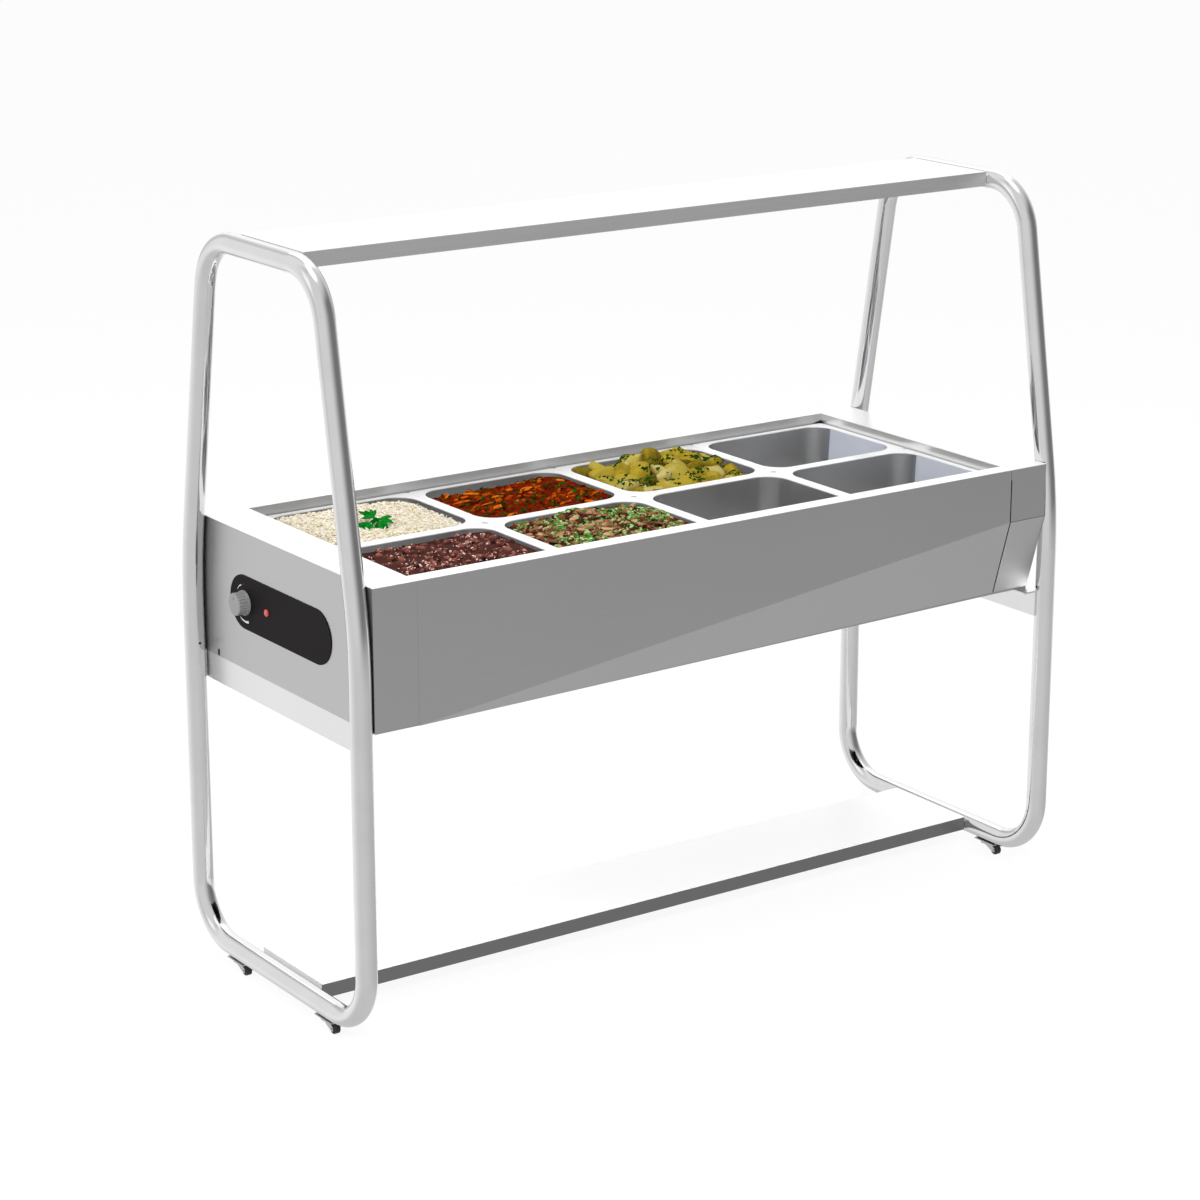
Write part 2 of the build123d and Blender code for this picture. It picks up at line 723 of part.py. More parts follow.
# Thermostat: a boxed body with a bushing through the end panel, and a shaft that turns in it
half_y = thermostat_size_y / 2
half_z = thermostat_size_z / 2
body_x1 = inner_end_x + thermostat_size_x
shaft_bore = shaft_diameter / 2 + shaft_play
shaft_inner_x = inner_end_x + shaft_in_body
thermostat_bottom = control_z - half_z
thermostat = block(
    inner_end_x, body_x1, knob_y - half_y, knob_y + half_y, thermostat_bottom, control_z + half_z
)
thermostat += rod_x(plate_face_x, inner_end_x, knob_y, control_z, bushing_diameter / 2)
thermostat -= rod_x(plate_face_x, shaft_inner_x + shaft_play, knob_y, control_z, shaft_bore)
parts["thermostat_body"] = thermostat

knob_back_x = plate_face_x - knob_gap
shaft_tip_x = knob_back_x - shaft_in_knob
parts["thermostat_shaft"] = rod_x(shaft_tip_x, shaft_inner_x, knob_y, control_z, shaft_diameter / 2)


def make_knob():
    """A grooved knob, its back at height 0 and its face upward."""
    grip_radius = knob_grip_diameter / 2
    grip = extrude(Circle(grip_radius), amount=knob_depth)
    grip = fillet(grip.faces().sort_by(Axis.Z)[-1].edges(), knob_edge_radius)
    groove = Pos(grip_radius, 0, knob_skirt_depth) * extrude(Circle(knob_groove_radius), amount=knob_depth)
    for i in range(knob_grooves):
        grip -= Rotation(0, 0, 360 / knob_grooves * i) * groove
    knob = grip + extrude(Circle(knob_diameter / 2), amount=knob_skirt_depth)
    dot = Pos(0, grip_radius - knob_dot_inset, knob_depth - knob_dot_depth)
    knob -= dot * extrude(Circle(knob_dot_diameter / 2), amount=knob_depth)
    return knob - extrude(Circle(shaft_diameter / 2), amount=shaft_in_knob)


knob_plane = Plane(origin=(knob_back_x, knob_y, control_z), x_dir=(0, -1, 0), z_dir=(-1, 0, 0))
parts["control_knob"] = knob_plane * make_knob()

# Pilot lamp: a domed lens on the plate, and a body held by a nut behind the panel
dome_radius = ((lamp_lens_diameter / 2) ** 2 + lamp_lens_dome**2) / (2 * lamp_lens_dome)
lens_base_x = plate_face_x - lamp_lens_base
lens_tip_x = lens_base_x - lamp_lens_dome
lens = rod_x(lens_tip_x, plate_face_x, lamp_y, control_z, lamp_lens_diameter / 2)
dome_ball = Pos(lens_tip_x + dome_radius, lamp_y, control_z) * Sphere(dome_radius)
dome_rest = rod_x(lens_base_x, plate_face_x, lamp_y, control_z, lamp_lens_diameter / 2)
parts["pilot_lamp_lens"] = (lens & dome_ball) + dome_rest
lamp_inner_x = plate_face_x + lamp_body_length
lamp_body = rod_x(plate_face_x, lamp_inner_x, lamp_y, control_z, lamp_body_diameter / 2)
lamp_body += rod_x(inner_end_x, inner_end_x + lamp_nut_height, lamp_y, control_z, lamp_nut_diameter / 2)
parts["pilot_lamp_body"] = lamp_body

# Heating element: four runs under the tank, both ends at the left, with terminal pins
element_right = tank_half_x - element_end_inset
element_left = -element_right
element_end = -tank_half_x - element_cold_end
element_rows = [(i - (element_runs - 1) / 2) * element_row_pitch for i in range(element_runs)]
element_points = [
    (element_end, element_rows[0], element_z),
    (element_right, element_rows[0], element_z),
    (element_right, element_rows[1], element_z),
    (element_left, element_rows[1], element_z),
    (element_left, element_rows[2], element_z),
    (element_right, element_rows[2], element_z),
    (element_right, element_rows[3], element_z),
    (element_end, element_rows[3], element_z),
]
element = bent_bar(element_points, element_bend_radius, element_diameter / 2)
pin_tip = element_end - element_pin_length
for y in (element_rows[0], element_rows[3]):
    element += rod_x(pin_tip, element_end, y, element_z, element_pin_diameter / 2)
parts["heating_element"] = element


def element_clamp(x):
    """A strap under the element's runs, with a post at each end up to the tank."""
    half_x = clamp_width / 2
    half_strap = element_rows[3] + clamp_overhang
    strap = block(x - half_x, x + half_x, -half_strap, half_strap, clamp_top - clamp_sheet, clamp_top)
    for side in (-1, 1):
        y0, y1 = sorted((side * half_strap, side * (half_strap - clamp_post)))
        strap += block(x - half_x, x + half_x, y0, y1, clamp_top, tank_underside)
    return strap


parts["element_clamps"] = group(element_clamp(x) for x in (-clamp_pitch, 0, clamp_pitch))

insulation_x = tank_half_x - insulation_inset
slab = block(
    -insulation_x, insulation_x, -insulation_depth / 2, insulation_depth / 2, base_top, insulation_top
)
slab -= rod_z(drain_x, drain_y, base_top, insulation_top, drain_hole)
parts["tank_insulation"] = slab

# Thermostat bulb under the tank, and its capillary up to the thermostat
bulb_z = tank_underside - element_gap - bulb_diameter / 2
bulb_end = -tank_half_x + bulb_inset
bulb = rod_x(bulb_end, bulb_end + bulb_length, 0, bulb_z, bulb_diameter / 2)
capillary_x = body_x1 + capillary_standoff
capillary_points = [
    (bulb_end, 0, bulb_z),
    (capillary_x, 0, bulb_z),
    (capillary_x, knob_y, bulb_z),
    (capillary_x, knob_y, control_z),
    (body_x1, knob_y, control_z),
]
parts["thermostat_bulb"] = bulb + bent_bar(capillary_points, capillary_bend, capillary_diameter / 2)

# Terminal block on the base, cable gland through it, and the wires between
terminal_x = -half_length + terminal_inset
terminal_top = base_top + terminal_height
half_block = terminal_width / 2
half_row = terminal_length / 2
parts["terminal_block"] = block(
    terminal_x - half_block, terminal_x + half_block,
    terminal_y - half_row, terminal_y + half_row,
    base_top, terminal_top,
)

gland_radius = gland_nut_diameter / 2
gland = rod_z(gland_x, gland_y, panel_bottom, base_top + gland_nut_height, gland_thread_diameter / 2)
gland += rod_z(gland_x, gland_y, base_top, base_top + gland_nut_height, gland_radius)
gland += rod_z(gland_x, gland_y, panel_bottom - gland_nut_height, panel_bottom, gland_radius)
gland_tip = panel_bottom - gland_nut_height - gland_thread_length
gland += rod_z(gland_x, gland_y, gland_tip, panel_bottom, gland_thread_diameter / 2)
gland -= rod_z(gland_x, gland_y, gland_tip, base_top + gland_nut_height, gland_bore_diameter / 2)
parts["cable_gland"] = gland

wire_x = inner_end_x + thermostat_size_x / 2
low_run = terminal_top + wire_low_rise
return_run = terminal_top + wire_return_rise
high_run = thermostat_bottom - wire_high_drop
supply_y = terminal_y + terminal_pitch
return_y = terminal_y - terminal_pitch
front_pin_y = element_rows[0]
rear_pin_y = element_rows[3]
feed_y = knob_y - terminal_pitch
wire_routes = [
    [
        (terminal_x, supply_y, terminal_top),
        (terminal_x, supply_y, low_run),
        (wire_x, feed_y, low_run),
        (wire_x, feed_y, thermostat_bottom),
    ],
    [
        (wire_x, knob_y, thermostat_bottom),
        (wire_x, knob_y, element_z),
        (wire_x, rear_pin_y, element_z),
        (pin_tip, rear_pin_y, element_z),
    ],
    [
        (terminal_x, return_y, terminal_top),
        (terminal_x, return_y, return_run),
        (wire_x, front_pin_y, return_run),
        (wire_x, front_pin_y, element_z),
        (pin_tip, front_pin_y, element_z),
    ],
    [
        (terminal_x, terminal_y, terminal_top),
        (terminal_x, terminal_y, high_run),
        (terminal_x, lamp_y, high_run),
        (terminal_x, lamp_y, control_z),
        (lamp_inner_x, lamp_y, control_z),
    ],
]
parts["internal_wiring"] = group(bent_bar(route, wire_bend, wire_diameter / 2) for route in wire_routes)

# Drain: a pipe through tank and base, a valve under the base, and its lever
pipe_radius = drain_pipe_diameter / 2
pipe_bore = pipe_radius - drain_pipe_wall
pipe_bottom = panel_bottom - drain_pipe_drop
collar_bottom = tank_underside - drain_collar_height
pipe = rod_z(drain_x, drain_y, pipe_bottom, tank_floor, pipe_radius)
pipe += rod_z(drain_x, drain_y, collar_bottom, tank_underside, drain_collar_diameter / 2)
pipe -= rod_z(drain_x, drain_y, pipe_bottom, tank_floor, pipe_bore)
parts["drain_pipe"] = pipe

valve_top = pipe_bottom + valve_socket_depth
valve_bottom = valve_top - valve_height
valve_z = (valve_top + valve_bottom) / 2
tail_bottom = valve_bottom - valve_tail_length
boss_y = drain_y - valve_diameter / 2 - valve_boss_length
stem_radius = lever_stem_diameter / 2
stem_end_y = boss_y + lever_stem_depth
valve = rod_z(drain_x, drain_y, valve_bottom, valve_top, valve_diameter / 2)
valve += rod_z(drain_x, drain_y, tail_bottom, valve_bottom, valve_tail_diameter / 2)
valve += rod_y(drain_x, boss_y, drain_y, valve_z, valve_boss_diameter / 2)
valve -= rod_z(drain_x, drain_y, pipe_bottom, valve_top, pipe_radius + valve_socket_play)
valve -= rod_y(drain_x, boss_y, stem_end_y + lever_gap, valve_z, stem_radius + lever_play)
parts["drain_valve"] = valve

lever_face = boss_y - lever_gap
lever = rod_y(drain_x, lever_face - lever_sheet, lever_face, valve_z, lever_hub_diameter / 2)
lever += block(
    drain_x, drain_x + lever_length, lever_face - lever_sheet, lever_face,
    valve_z - lever_width / 2, valve_z + lever_width / 2,
)
lever += rod_y(drain_x, lever_face, stem_end_y, valve_z, stem_radius)
parts["drain_lever"] = lever

os.makedirs("parts", exist_ok=True)
for node, shape in parts.items():
    export_step(shape, f"parts/{node}.step")
print(len(parts), "parts written")
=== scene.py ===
# %% [markdown]
# # A hot buffet counter
# The counter is a stainless body with eight lift-out pans, hung between two hoops of polished tube.
# The solid parts come from the CAD frame with their true size and place. This lesson adds what CAD
# leaves out: a camera, a small studio, the finish of every surface, and the food in the pans.

# %% Load the frame
import bpy
import bmesh
import numpy as np
from collections import namedtuple
from math import cos, pi, radians, sin, tan
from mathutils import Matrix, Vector, noise
from mathutils.bvhtree import BVHTree


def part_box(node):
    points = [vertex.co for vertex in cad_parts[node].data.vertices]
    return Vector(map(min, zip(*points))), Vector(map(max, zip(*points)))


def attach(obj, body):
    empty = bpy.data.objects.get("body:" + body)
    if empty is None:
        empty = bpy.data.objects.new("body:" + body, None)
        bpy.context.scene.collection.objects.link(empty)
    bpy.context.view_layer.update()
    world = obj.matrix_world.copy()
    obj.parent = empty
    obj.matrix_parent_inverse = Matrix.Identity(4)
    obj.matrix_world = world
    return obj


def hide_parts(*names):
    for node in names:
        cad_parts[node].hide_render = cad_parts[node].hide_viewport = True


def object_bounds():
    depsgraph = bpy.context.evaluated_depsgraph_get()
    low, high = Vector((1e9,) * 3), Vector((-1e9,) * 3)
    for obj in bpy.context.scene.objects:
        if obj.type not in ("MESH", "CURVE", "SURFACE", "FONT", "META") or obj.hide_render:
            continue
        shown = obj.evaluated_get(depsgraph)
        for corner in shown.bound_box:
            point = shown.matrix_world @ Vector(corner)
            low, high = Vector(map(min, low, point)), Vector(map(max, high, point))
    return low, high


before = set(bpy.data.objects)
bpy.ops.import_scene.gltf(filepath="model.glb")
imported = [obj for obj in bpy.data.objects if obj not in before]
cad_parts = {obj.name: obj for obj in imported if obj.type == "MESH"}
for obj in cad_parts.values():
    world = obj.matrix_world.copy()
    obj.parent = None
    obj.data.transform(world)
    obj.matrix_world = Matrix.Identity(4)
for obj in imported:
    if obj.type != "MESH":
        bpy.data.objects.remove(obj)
cad_low, cad_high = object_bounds()
counter = "counter"
print("nodes", len(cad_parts), "box", tuple(cad_low), tuple(cad_high))

# %% [markdown]
# ## Camera
# A camera is matched to a photo by its place, its direction and its focal length. The focal length was
# found in pixels of a 1200 pixel picture, so it is turned into millimetres on Blender's 36 mm sensor.

# %% Camera
picture_px = 1200
focal_px = 3235
sensor_mm = 36.0
camera_place = Vector((-3.341, -4.681, 2.303))
camera_look = Vector((0.5489, 0.7868, -0.2822))

camera_data = bpy.data.cameras.new("counter_camera")
camera_data.sensor_width = sensor_mm
camera_data.lens = focal_px / picture_px * sensor_mm
camera = bpy.data.objects.new("counter_camera", camera_data)
camera.location = camera_place
camera.rotation_euler = camera_look.to_track_quat("-Z", "Y").to_euler()
bpy.context.scene.collection.objects.link(camera)
bpy.context.scene.camera = camera
bpy.context.scene.view_settings.view_transform = "Standard"
print("lens", round(camera_data.lens, 2), "mm")

# %% [markdown]
# ## Node helpers
# A Blender material is a small graph of nodes. These helpers add one node each, so that a finish later
# reads as a recipe: take a noise, stretch it, turn it into a colour, a roughness or a bump.


# %% Node helpers
def new_material(name):
    """A material with a Principled shader, and that shader."""
    material = bpy.data.materials.new(name)
    material.use_nodes = True
    return material, material.node_tree.nodes["Principled BSDF"]


def add_node(material, kind, **values):
    """One node, with its properties set by name."""
    node = material.node_tree.nodes.new(kind)
    for name, value in values.items():
        setattr(node, name, value)
    return node


def set_inputs(node, values):
    """Constant values on a node's own sockets."""
    for name, value in values.items():
        node.inputs[name].default_value = value


def join(material, source, target):
    """A link from one socket to another."""
    material.node_tree.links.new(source, target)


def calc(tree, operation, *inputs):
    """One step of arithmetic between sockets and numbers."""
    node = tree.nodes.new("ShaderNodeMath")
    node.operation = operation
    for socket, value in zip(node.inputs, inputs):
        if isinstance(value, (int, float)):
            socket.default_value = value
        else:
            tree.links.new(value, socket)
    return node.outputs[0]


def step_up(tree, value, low, high):
    """0 below low, 1 above high, and smooth between them."""
    node = tree.nodes.new("ShaderNodeMapRange")
    node.interpolation_type = "SMOOTHSTEP"
    set_inputs(node, {"From Min": low, "From Max": high})
    tree.links.new(value, node.inputs["Value"])
    return node.outputs["Result"]


def between(tree, mask, first, second):
    """The first value where the mask is 0, the second where it is 1."""
    change = calc(tree, "SUBTRACT", second, first)
    return calc(tree, "MULTIPLY_ADD", mask, change, first)


print("helpers for single nodes")


# %% Texture helpers
def stretched_noise(material, stretch, detail=4.0, offset=0.0):
    """A noise in the object's own metres, finer along the axes with a large stretch."""
    place = add_node(material, "ShaderNodeTexCoord")
    mapping = add_node(material, "ShaderNodeMapping")
    set_inputs(mapping, {"Scale": stretch, "Location": (offset, offset, offset)})
    grain = add_node(material, "ShaderNodeTexNoise")
    set_inputs(grain, {"Scale": 1.0, "Detail": detail})
    join(material, place.outputs["Object"], mapping.inputs["Vector"])
    join(material, mapping.outputs["Vector"], grain.inputs["Vector"])
    return grain.outputs["Fac"]


def even_noise(material, scale, detail=4.0, offset=0.0):
    """A noise that is equally fine along all axes."""
    return stretched_noise(material, (scale, scale, scale), detail, offset)


def ramp(material, value, stops):
    """A colour ramp: a list of (position, colour)."""
    node = add_node(material, "ShaderNodeValToRGB")
    elements = node.color_ramp.elements
    while len(elements) < len(stops):
        elements.new(0.5)
    for element, (position, colour) in zip(elements, stops):
        element.position = position
        element.color = (*colour, 1.0)
    join(material, value, node.inputs["Fac"])
    return node.outputs["Color"]


def grey(tone):
    """A colour with one tone in all its channels."""
    return (tone, tone, tone)


def remap(material, value, low, high, start=0.3, end=0.7):
    """A value moved from the range start to end to the range low to high."""
    node = add_node(material, "ShaderNodeMapRange")
    set_inputs(node, {"From Min": start, "From Max": end, "To Min": low, "To Max": high})
    join(material, value, node.inputs["Value"])
    return node.outputs["Result"]


def bump(material, shader, height, depth, strength=1.0, edge=0.0):
    """Relief from a height, with edges softened over a radius in metres."""
    node = add_node(material, "ShaderNodeBump")
    set_inputs(node, {"Distance": depth, "Strength": strength})
    join(material, height, node.inputs["Height"])
    if edge:
        rounding = add_node(material, "ShaderNodeBevel", samples=4)
        set_inputs(rounding, {"Radius": edge})
        join(material, rounding.outputs["Normal"], node.inputs["Normal"])
    join(material, node.outputs["Normal"], shader.inputs["Normal"])


print("helpers for textures and relief")


# %% Mask helpers
def beyond(material, axis, low, high):
    """Along an axis of the object: 0 up to the low value, 1 from the high one on."""
    place = add_node(material, "ShaderNodeTexCoord")
    axes = add_node(material, "ShaderNodeSeparateXYZ")
    join(material, place.outputs["Object"], axes.inputs[0])
    return step_up(material.node_tree, axes.outputs[axis], low, high)


def looking(material, axis):
    """How far a face looks along an axis, from -1 to 1."""
    geometry = add_node(material, "ShaderNodeNewGeometry")
    normal = add_node(material, "ShaderNodeSeparateXYZ")
    join(material, geometry.outputs["True Normal"], normal.inputs[0])
    return normal.outputs[axis]


def dress(material, *nodes):
    """Gives CAD nodes a finish through their material slots."""
    for name in nodes:
        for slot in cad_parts[name].material_slots:
            slot.material = material
    print(material.name, "on", len(nodes), "nodes")


print("helpers for masks, and one that dresses nodes")

# %% [markdown]
# ## Studio
# Polished metal shows the room more than itself, so the room is designed first. The camera sees plain
# white. Plain surfaces get an even soft light. Reflections see a room of their own: pale below, white
# above, with a dark side at the front right, which gives the tubes their dark streak and the front its
# grey. A picture of a real room would do as well, but a room made of soft steps can be tuned streak by
# streak. Each part of it is a level, which counts between compass directions and between heights.

# %% World
white = (1.0, 1.0, 1.0, 1.0)
ambient_level = 0.53
overhead_level = 1.35
wall_level = 0.76
pale_wall_level = 0.88
dark_wall_level = 0.2
band_level = 0.65
left_glow_level = 1.15
rear_glow_level = 1.12
high_glow_level = 1.4
horizon_level = 1.1
floor_left_level = 1.0
floor_front_level = 0.68
floor_right_level = 0.54
floor_near_level = 0.64

world = bpy.data.worlds.new("studio")
world.use_nodes = True
bpy.context.scene.world = world
sky = world.node_tree
background = sky.nodes["Background"]
background.inputs["Color"].default_value = white
way = sky.nodes.new("ShaderNodeTexCoord")
parts_of_way = sky.nodes.new("ShaderNodeSeparateXYZ")
sky.links.new(way.outputs["Generated"], parts_of_way.inputs[0])
way_x, way_y, way_z = parts_of_way.outputs
front_azimuth = calc(sky, "ARCTAN2", way_x, calc(sky, "MULTIPLY", way_y, -1.0))
rear_azimuth = calc(sky, "ARCTAN2", calc(sky, "MULTIPLY", way_x, -1.0), way_y)
print("world: ambient", ambient_level)


# %% Parts of the room
def window(value, low_start, low_end, high_start, high_end):
    """1 between two soft edges, and 0 outside them."""
    risen = step_up(sky, value, low_start, low_end)
    fallen = step_up(sky, value, high_start, high_end)
    return calc(sky, "SUBTRACT", risen, fallen)


def turning(azimuth, low_deg, high_deg):
    """A soft step over compass directions, in degrees from straight ahead."""
    return step_up(sky, azimuth, radians(low_deg), radians(high_deg))


def sector(azimuth, *edges_deg):
    """A window over compass directions, in degrees from straight ahead."""
    return window(azimuth, *[radians(edge) for edge in edges_deg])


def patch(azimuth, edges_deg, heights):
    """A soft patch between compass directions and between heights."""
    return calc(sky, "MULTIPLY", sector(azimuth, *edges_deg), window(way_z, *heights))


towards_front = turning(front_azimuth, -180.0, -70.0)
towards_right = turning(front_azimuth, -40.0, 90.0)
round_to_left = turning(front_azimuth, 100.0, 126.0)
far_floor = step_up(sky, way_z, -0.7, -0.4)
low_room = between(sky, towards_front, floor_left_level, floor_front_level)
low_room = between(sky, towards_right, low_room, floor_right_level)
low_room = between(sky, round_to_left, low_room, floor_left_level)
low_room = between(sky, far_floor, floor_near_level, low_room)
print("floor levels", floor_right_level, "to", floor_left_level)

# %% Walls of the room
pale_wall = sector(front_azimuth, -174.0, -162.0, -138.0, -126.0)
left_band = sector(front_azimuth, -128.0, -116.0, -108.0, -98.0)
rear_band = sector(rear_azimuth, -12.0, -5.0, 8.0, 16.0)
dark_side = patch(front_azimuth, (-40.0, 30.0, 55.0, 112.0), (-1.0, -0.9, 0.5, 0.97))
left_glow = patch(front_azimuth, (-130.0, -114.0, -106.0, -92.0), (0.12, 0.36, 0.5, 0.78))
rear_glow = patch(rear_azimuth, (-62.0, -54.0, -16.0, -10.0), (0.02, 0.07, 0.5, 0.56))
high_glow = patch(rear_azimuth, (-72.0, -56.0, -8.0, 4.0), (0.46, 0.6, 0.98, 1.0))
wall_parts = [
    (pale_wall, pale_wall_level), (left_band, band_level), (rear_band, band_level),
    (dark_side, dark_wall_level), (left_glow, left_glow_level), (rear_glow, rear_glow_level),
    (high_glow, high_glow_level),
]
walls = wall_level
for place, level in wall_parts:
    walls = between(sky, place, walls, level)
print("wall levels", dark_wall_level, "to", high_glow_level)

# %% Whole room
above_floor = step_up(sky, way_z, -0.3, -0.08)
horizon = patch(rear_azimuth, (-112.0, -84.0, 4.0, 14.0), (-0.34, -0.24, -0.13, -0.05))
overhead = step_up(sky, way_z, 0.925, 0.965)
room = between(sky, above_floor, low_room, walls)
room = between(sky, horizon, room, horizon_level)
room = between(sky, overhead, room, overhead_level)
ray = sky.nodes.new("ShaderNodeLightPath")
indirect = between(sky, ray.outputs["Is Glossy Ray"], ambient_level, room)
direct = calc(sky, "MAXIMUM", ray.outputs["Is Camera Ray"], ray.outputs["Is Transmission Ray"])
sky.links.new(between(sky, direct, indirect, 1.0), background.inputs["Strength"])
print("overhead level", overhead_level)

# %% [markdown]
# ## Floor
# The counter stands on a white floor that keeps only a faint shadow. A white diffuse floor would turn grey
# under soft lamps, so the camera sees another one: a glow close to white with a little diffuse paint on
# top, which carries the shadow. All other rays see pale paint, which throws light up under the body.

# %% Floor
floor_half = 45.0
floor_albedo = 0.72
floor_roughness = 0.9
floor_tint = 0.14
floor_glow = 0.9
corner_signs = ((-1, -1), (1, -1), (1, 1), (-1, 1))

floor_paint, floor_shader = new_material("pale_floor")
floor_colour = (*grey(floor_albedo), 1.0)
set_inputs(floor_shader, {
    "Base Color": floor_colour, "Roughness": floor_roughness, "Specular IOR Level": 0.0})
faint = add_node(floor_paint, "ShaderNodeBsdfDiffuse")
set_inputs(faint, {"Color": (*grey(floor_tint), 1.0)})
glow = add_node(floor_paint, "ShaderNodeEmission")
set_inputs(glow, {"Strength": floor_glow})
bright = add_node(floor_paint, "ShaderNodeAddShader")
which_floor = add_node(floor_paint, "ShaderNodeMixShader")
floor_ray = add_node(floor_paint, "ShaderNodeLightPath")
join(floor_paint, faint.outputs[0], bright.inputs[0])
join(floor_paint, glow.outputs[0], bright.inputs[1])
join(floor_paint, floor_ray.outputs["Is Camera Ray"], which_floor.inputs[0])
join(floor_paint, floor_shader.outputs[0], which_floor.inputs[1])
join(floor_paint, bright.outputs[0], which_floor.inputs[2])
join(floor_paint, which_floor.outputs[0], floor_paint.node_tree.nodes["Material Output"].inputs["Surface"])
floor_corners = [(x * floor_half, y * floor_half, cad_low.z) for x, y in corner_signs]
floor_mesh = bpy.data.meshes.new("studio_floor")
floor_mesh.from_pydata(floor_corners, [], [(0, 1, 2, 3)])
floor_mesh.materials.append(floor_paint)
floor = bpy.data.objects.new("studio_floor", floor_mesh)
floor.visible_glossy = False
bpy.context.scene.collection.objects.link(floor)
print("floor", 2 * floor_half, "m wide")

# %% [markdown]
# ## Lamps
# Three large area lamps light everything softly. They are hidden from reflections, where the painted room
# takes their place. Three more lamps reach single pieces only, which Blender calls light linking: a cool
# side light for the steel of the two end pans, a fill for the lower shelf, which lies in the body's shade,
# and a small glint on the lower right corner of the front.


# %% Softboxes
def softbox(name, place, target, width, height, watts):
    """A large area lamp turned towards a point."""
    data = bpy.data.lights.new(name, "AREA")
    data.shape = "RECTANGLE"
    data.size = width
    data.size_y = height
    data.energy = watts
    lamp = bpy.data.objects.new(name, data)
    lamp.location = place
    lamp.rotation_euler = (Vector(target) - Vector(place)).to_track_quat("-Z", "Y").to_euler()
    bpy.context.scene.collection.objects.link(lamp)
    return lamp


body_middle = (0.0, 0.0, 0.75)
lamps = [
    softbox("top_softbox", (0.3, 0.2, 4.2), body_middle, width=3.4, height=2.4, watts=60.0),
    softbox("left_softbox", (-3.6, 0.8, 2.6), body_middle, width=2.2, height=1.8, watts=51.0),
    softbox("front_softbox", (-1.4, -3.4, 3.4), body_middle, width=1.6, height=1.2, watts=93.0),
]
for lamp in lamps:
    lamp.visible_glossy = False
print("softboxes", len(lamps))


# %% Linked lamps
def shine_only_on(lamp, *nodes):
    """Links a lamp to a few nodes, which it reaches past everything between."""
    receivers = bpy.data.collections.new(f"{lamp.name}_receivers")
    for name in nodes:
        receivers.objects.link(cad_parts[name])
    lamp.light_linking.receiver_collection = receivers
    lamp.data.use_shadow = False
    lamp.data.cycles.use_multiple_importance_sampling = False
    print(lamp.name, "on", len(nodes), "nodes")


kicker_target = Vector((0.63, 0.0, 0.77))
kicker_way = Vector((-0.75, 0.63, -0.22))
kicker_place = kicker_target + 6.0 * kicker_way
kicker = softbox("pan_kicker", kicker_place, kicker_target, width=8.4, height=2.8, watts=54.0)
kicker.data.color = (0.8, 0.85, 1.0)
shine_only_on(kicker, "pan_front_4", "pan_rear_4")
shelf_middle = (0.0, 0.0, 0.06)
shelf_fill = softbox("shelf_fill", (0.5, -3.0, 3.4), shelf_middle, width=2.0, height=2.0, watts=112.0)
shelf_fill.visible_glossy = False
shine_only_on(shelf_fill, "lower_shelf")
glint_target = Vector((0.729, -0.261, 0.583))
glint_way = Vector((0.65, -0.46, -0.61))
glint_place = glint_target + 0.1 * glint_way
glint = softbox("corner_glint", glint_place, glint_target, width=0.03, height=0.03, watts=0.008)
shine_only_on(glint, "front_right_corner_panel")

# %% [markdown]
# ## Steel
# Sheet steel is brushed: fine scratches run one way and spread the reflection. A noise that is stretched
# along the brushing direction gives the scratches. It drives a slight change of tone and roughness, and a
# very shallow bump. A picture of brushed steel would have to be laid out on every sheet, but the noise works
# in the object's own metres and fits them all. A Bevel node rounds the folded edges, so that they catch a
# thin line of light. The faces of the body's underside that look down are painted black, as painted shade
# under the body, through a mask.

# %% Brushed steel
ALONG_X, ALONG_Y = 0, 1
scratch_across = 900.0
scratch_along = 5.0
scratch_share = 0.6
scratch_depth = 0.00004
cloud_scale = 3.0
sheet_edge = 0.0008
fine_edge = 0.0004
# Tops are painted pale with this tone, as painted light, fading in over this height.
painted_light_tone = 0.97
painted_light_fade = 0.0009


def brushed_steel(name, tone, roughness, along, edge=sheet_edge, metal=1.0, painted_light_from=(), painted_light_metal=1.0):
    """Sheet steel, with the brushing along one axis: 0, 1 or 2.

    Beyond each of the given places, which are pairs of an axis and a value, it is painted pale, as painted
    light.
    """
    material, shader = new_material(name)
    tree = material.node_tree
    stretch = [scratch_across, scratch_across, scratch_across]
    stretch[along] = scratch_along
    scratches = stretched_noise(material, stretch, detail=3.0)
    clouds = even_noise(material, cloud_scale, detail=2.0, offset=4.0)
    faint_clouds = remap(material, clouds, 0.1, 0.3)
    mixed = calc(tree, "MULTIPLY_ADD", scratches, scratch_share, faint_clouds)
    colour = ramp(material, mixed, [(0.3, grey(tone * 0.95)), (0.7, grey(min(tone * 1.04, 1.0)))])
    shader.inputs["Metallic"].default_value = metal
    for axis, start in painted_light_from:
        painted_light_mask = beyond(material, axis, start, start + painted_light_fade)
        colour = between(tree, painted_light_mask, colour, painted_light_tone)
        if painted_light_metal != shader.inputs["Metallic"].default_value:
            metal = between(tree, painted_light_mask, metal, painted_light_metal)
            join(material, metal, shader.inputs["Metallic"])
    join(material, colour, shader.inputs["Base Color"])
    rough = remap(material, mixed, roughness * 0.88, roughness * 1.12)
    join(material, rough, shader.inputs["Roughness"])
    bump(material, shader, scratches, scratch_depth, strength=0.6, edge=edge)
    return material


# Faces that look down are painted black, as painted shade under the body.
shade_from = -0.9
shade_to = -0.6


def paint_underside_shade(material):
    """Painted shade under the body: black on the faces that look down."""
    tree = material.node_tree
    colour_in = tree.nodes["Principled BSDF"].inputs["Base Color"]
    unshaded = step_up(tree, looking(material, "Z"), shade_from, shade_to)
    join(material, calc(tree, "MULTIPLY", colour_in.links[0].from_socket, unshaded), colour_in)


print("steel: brushed, with or without pale sides")

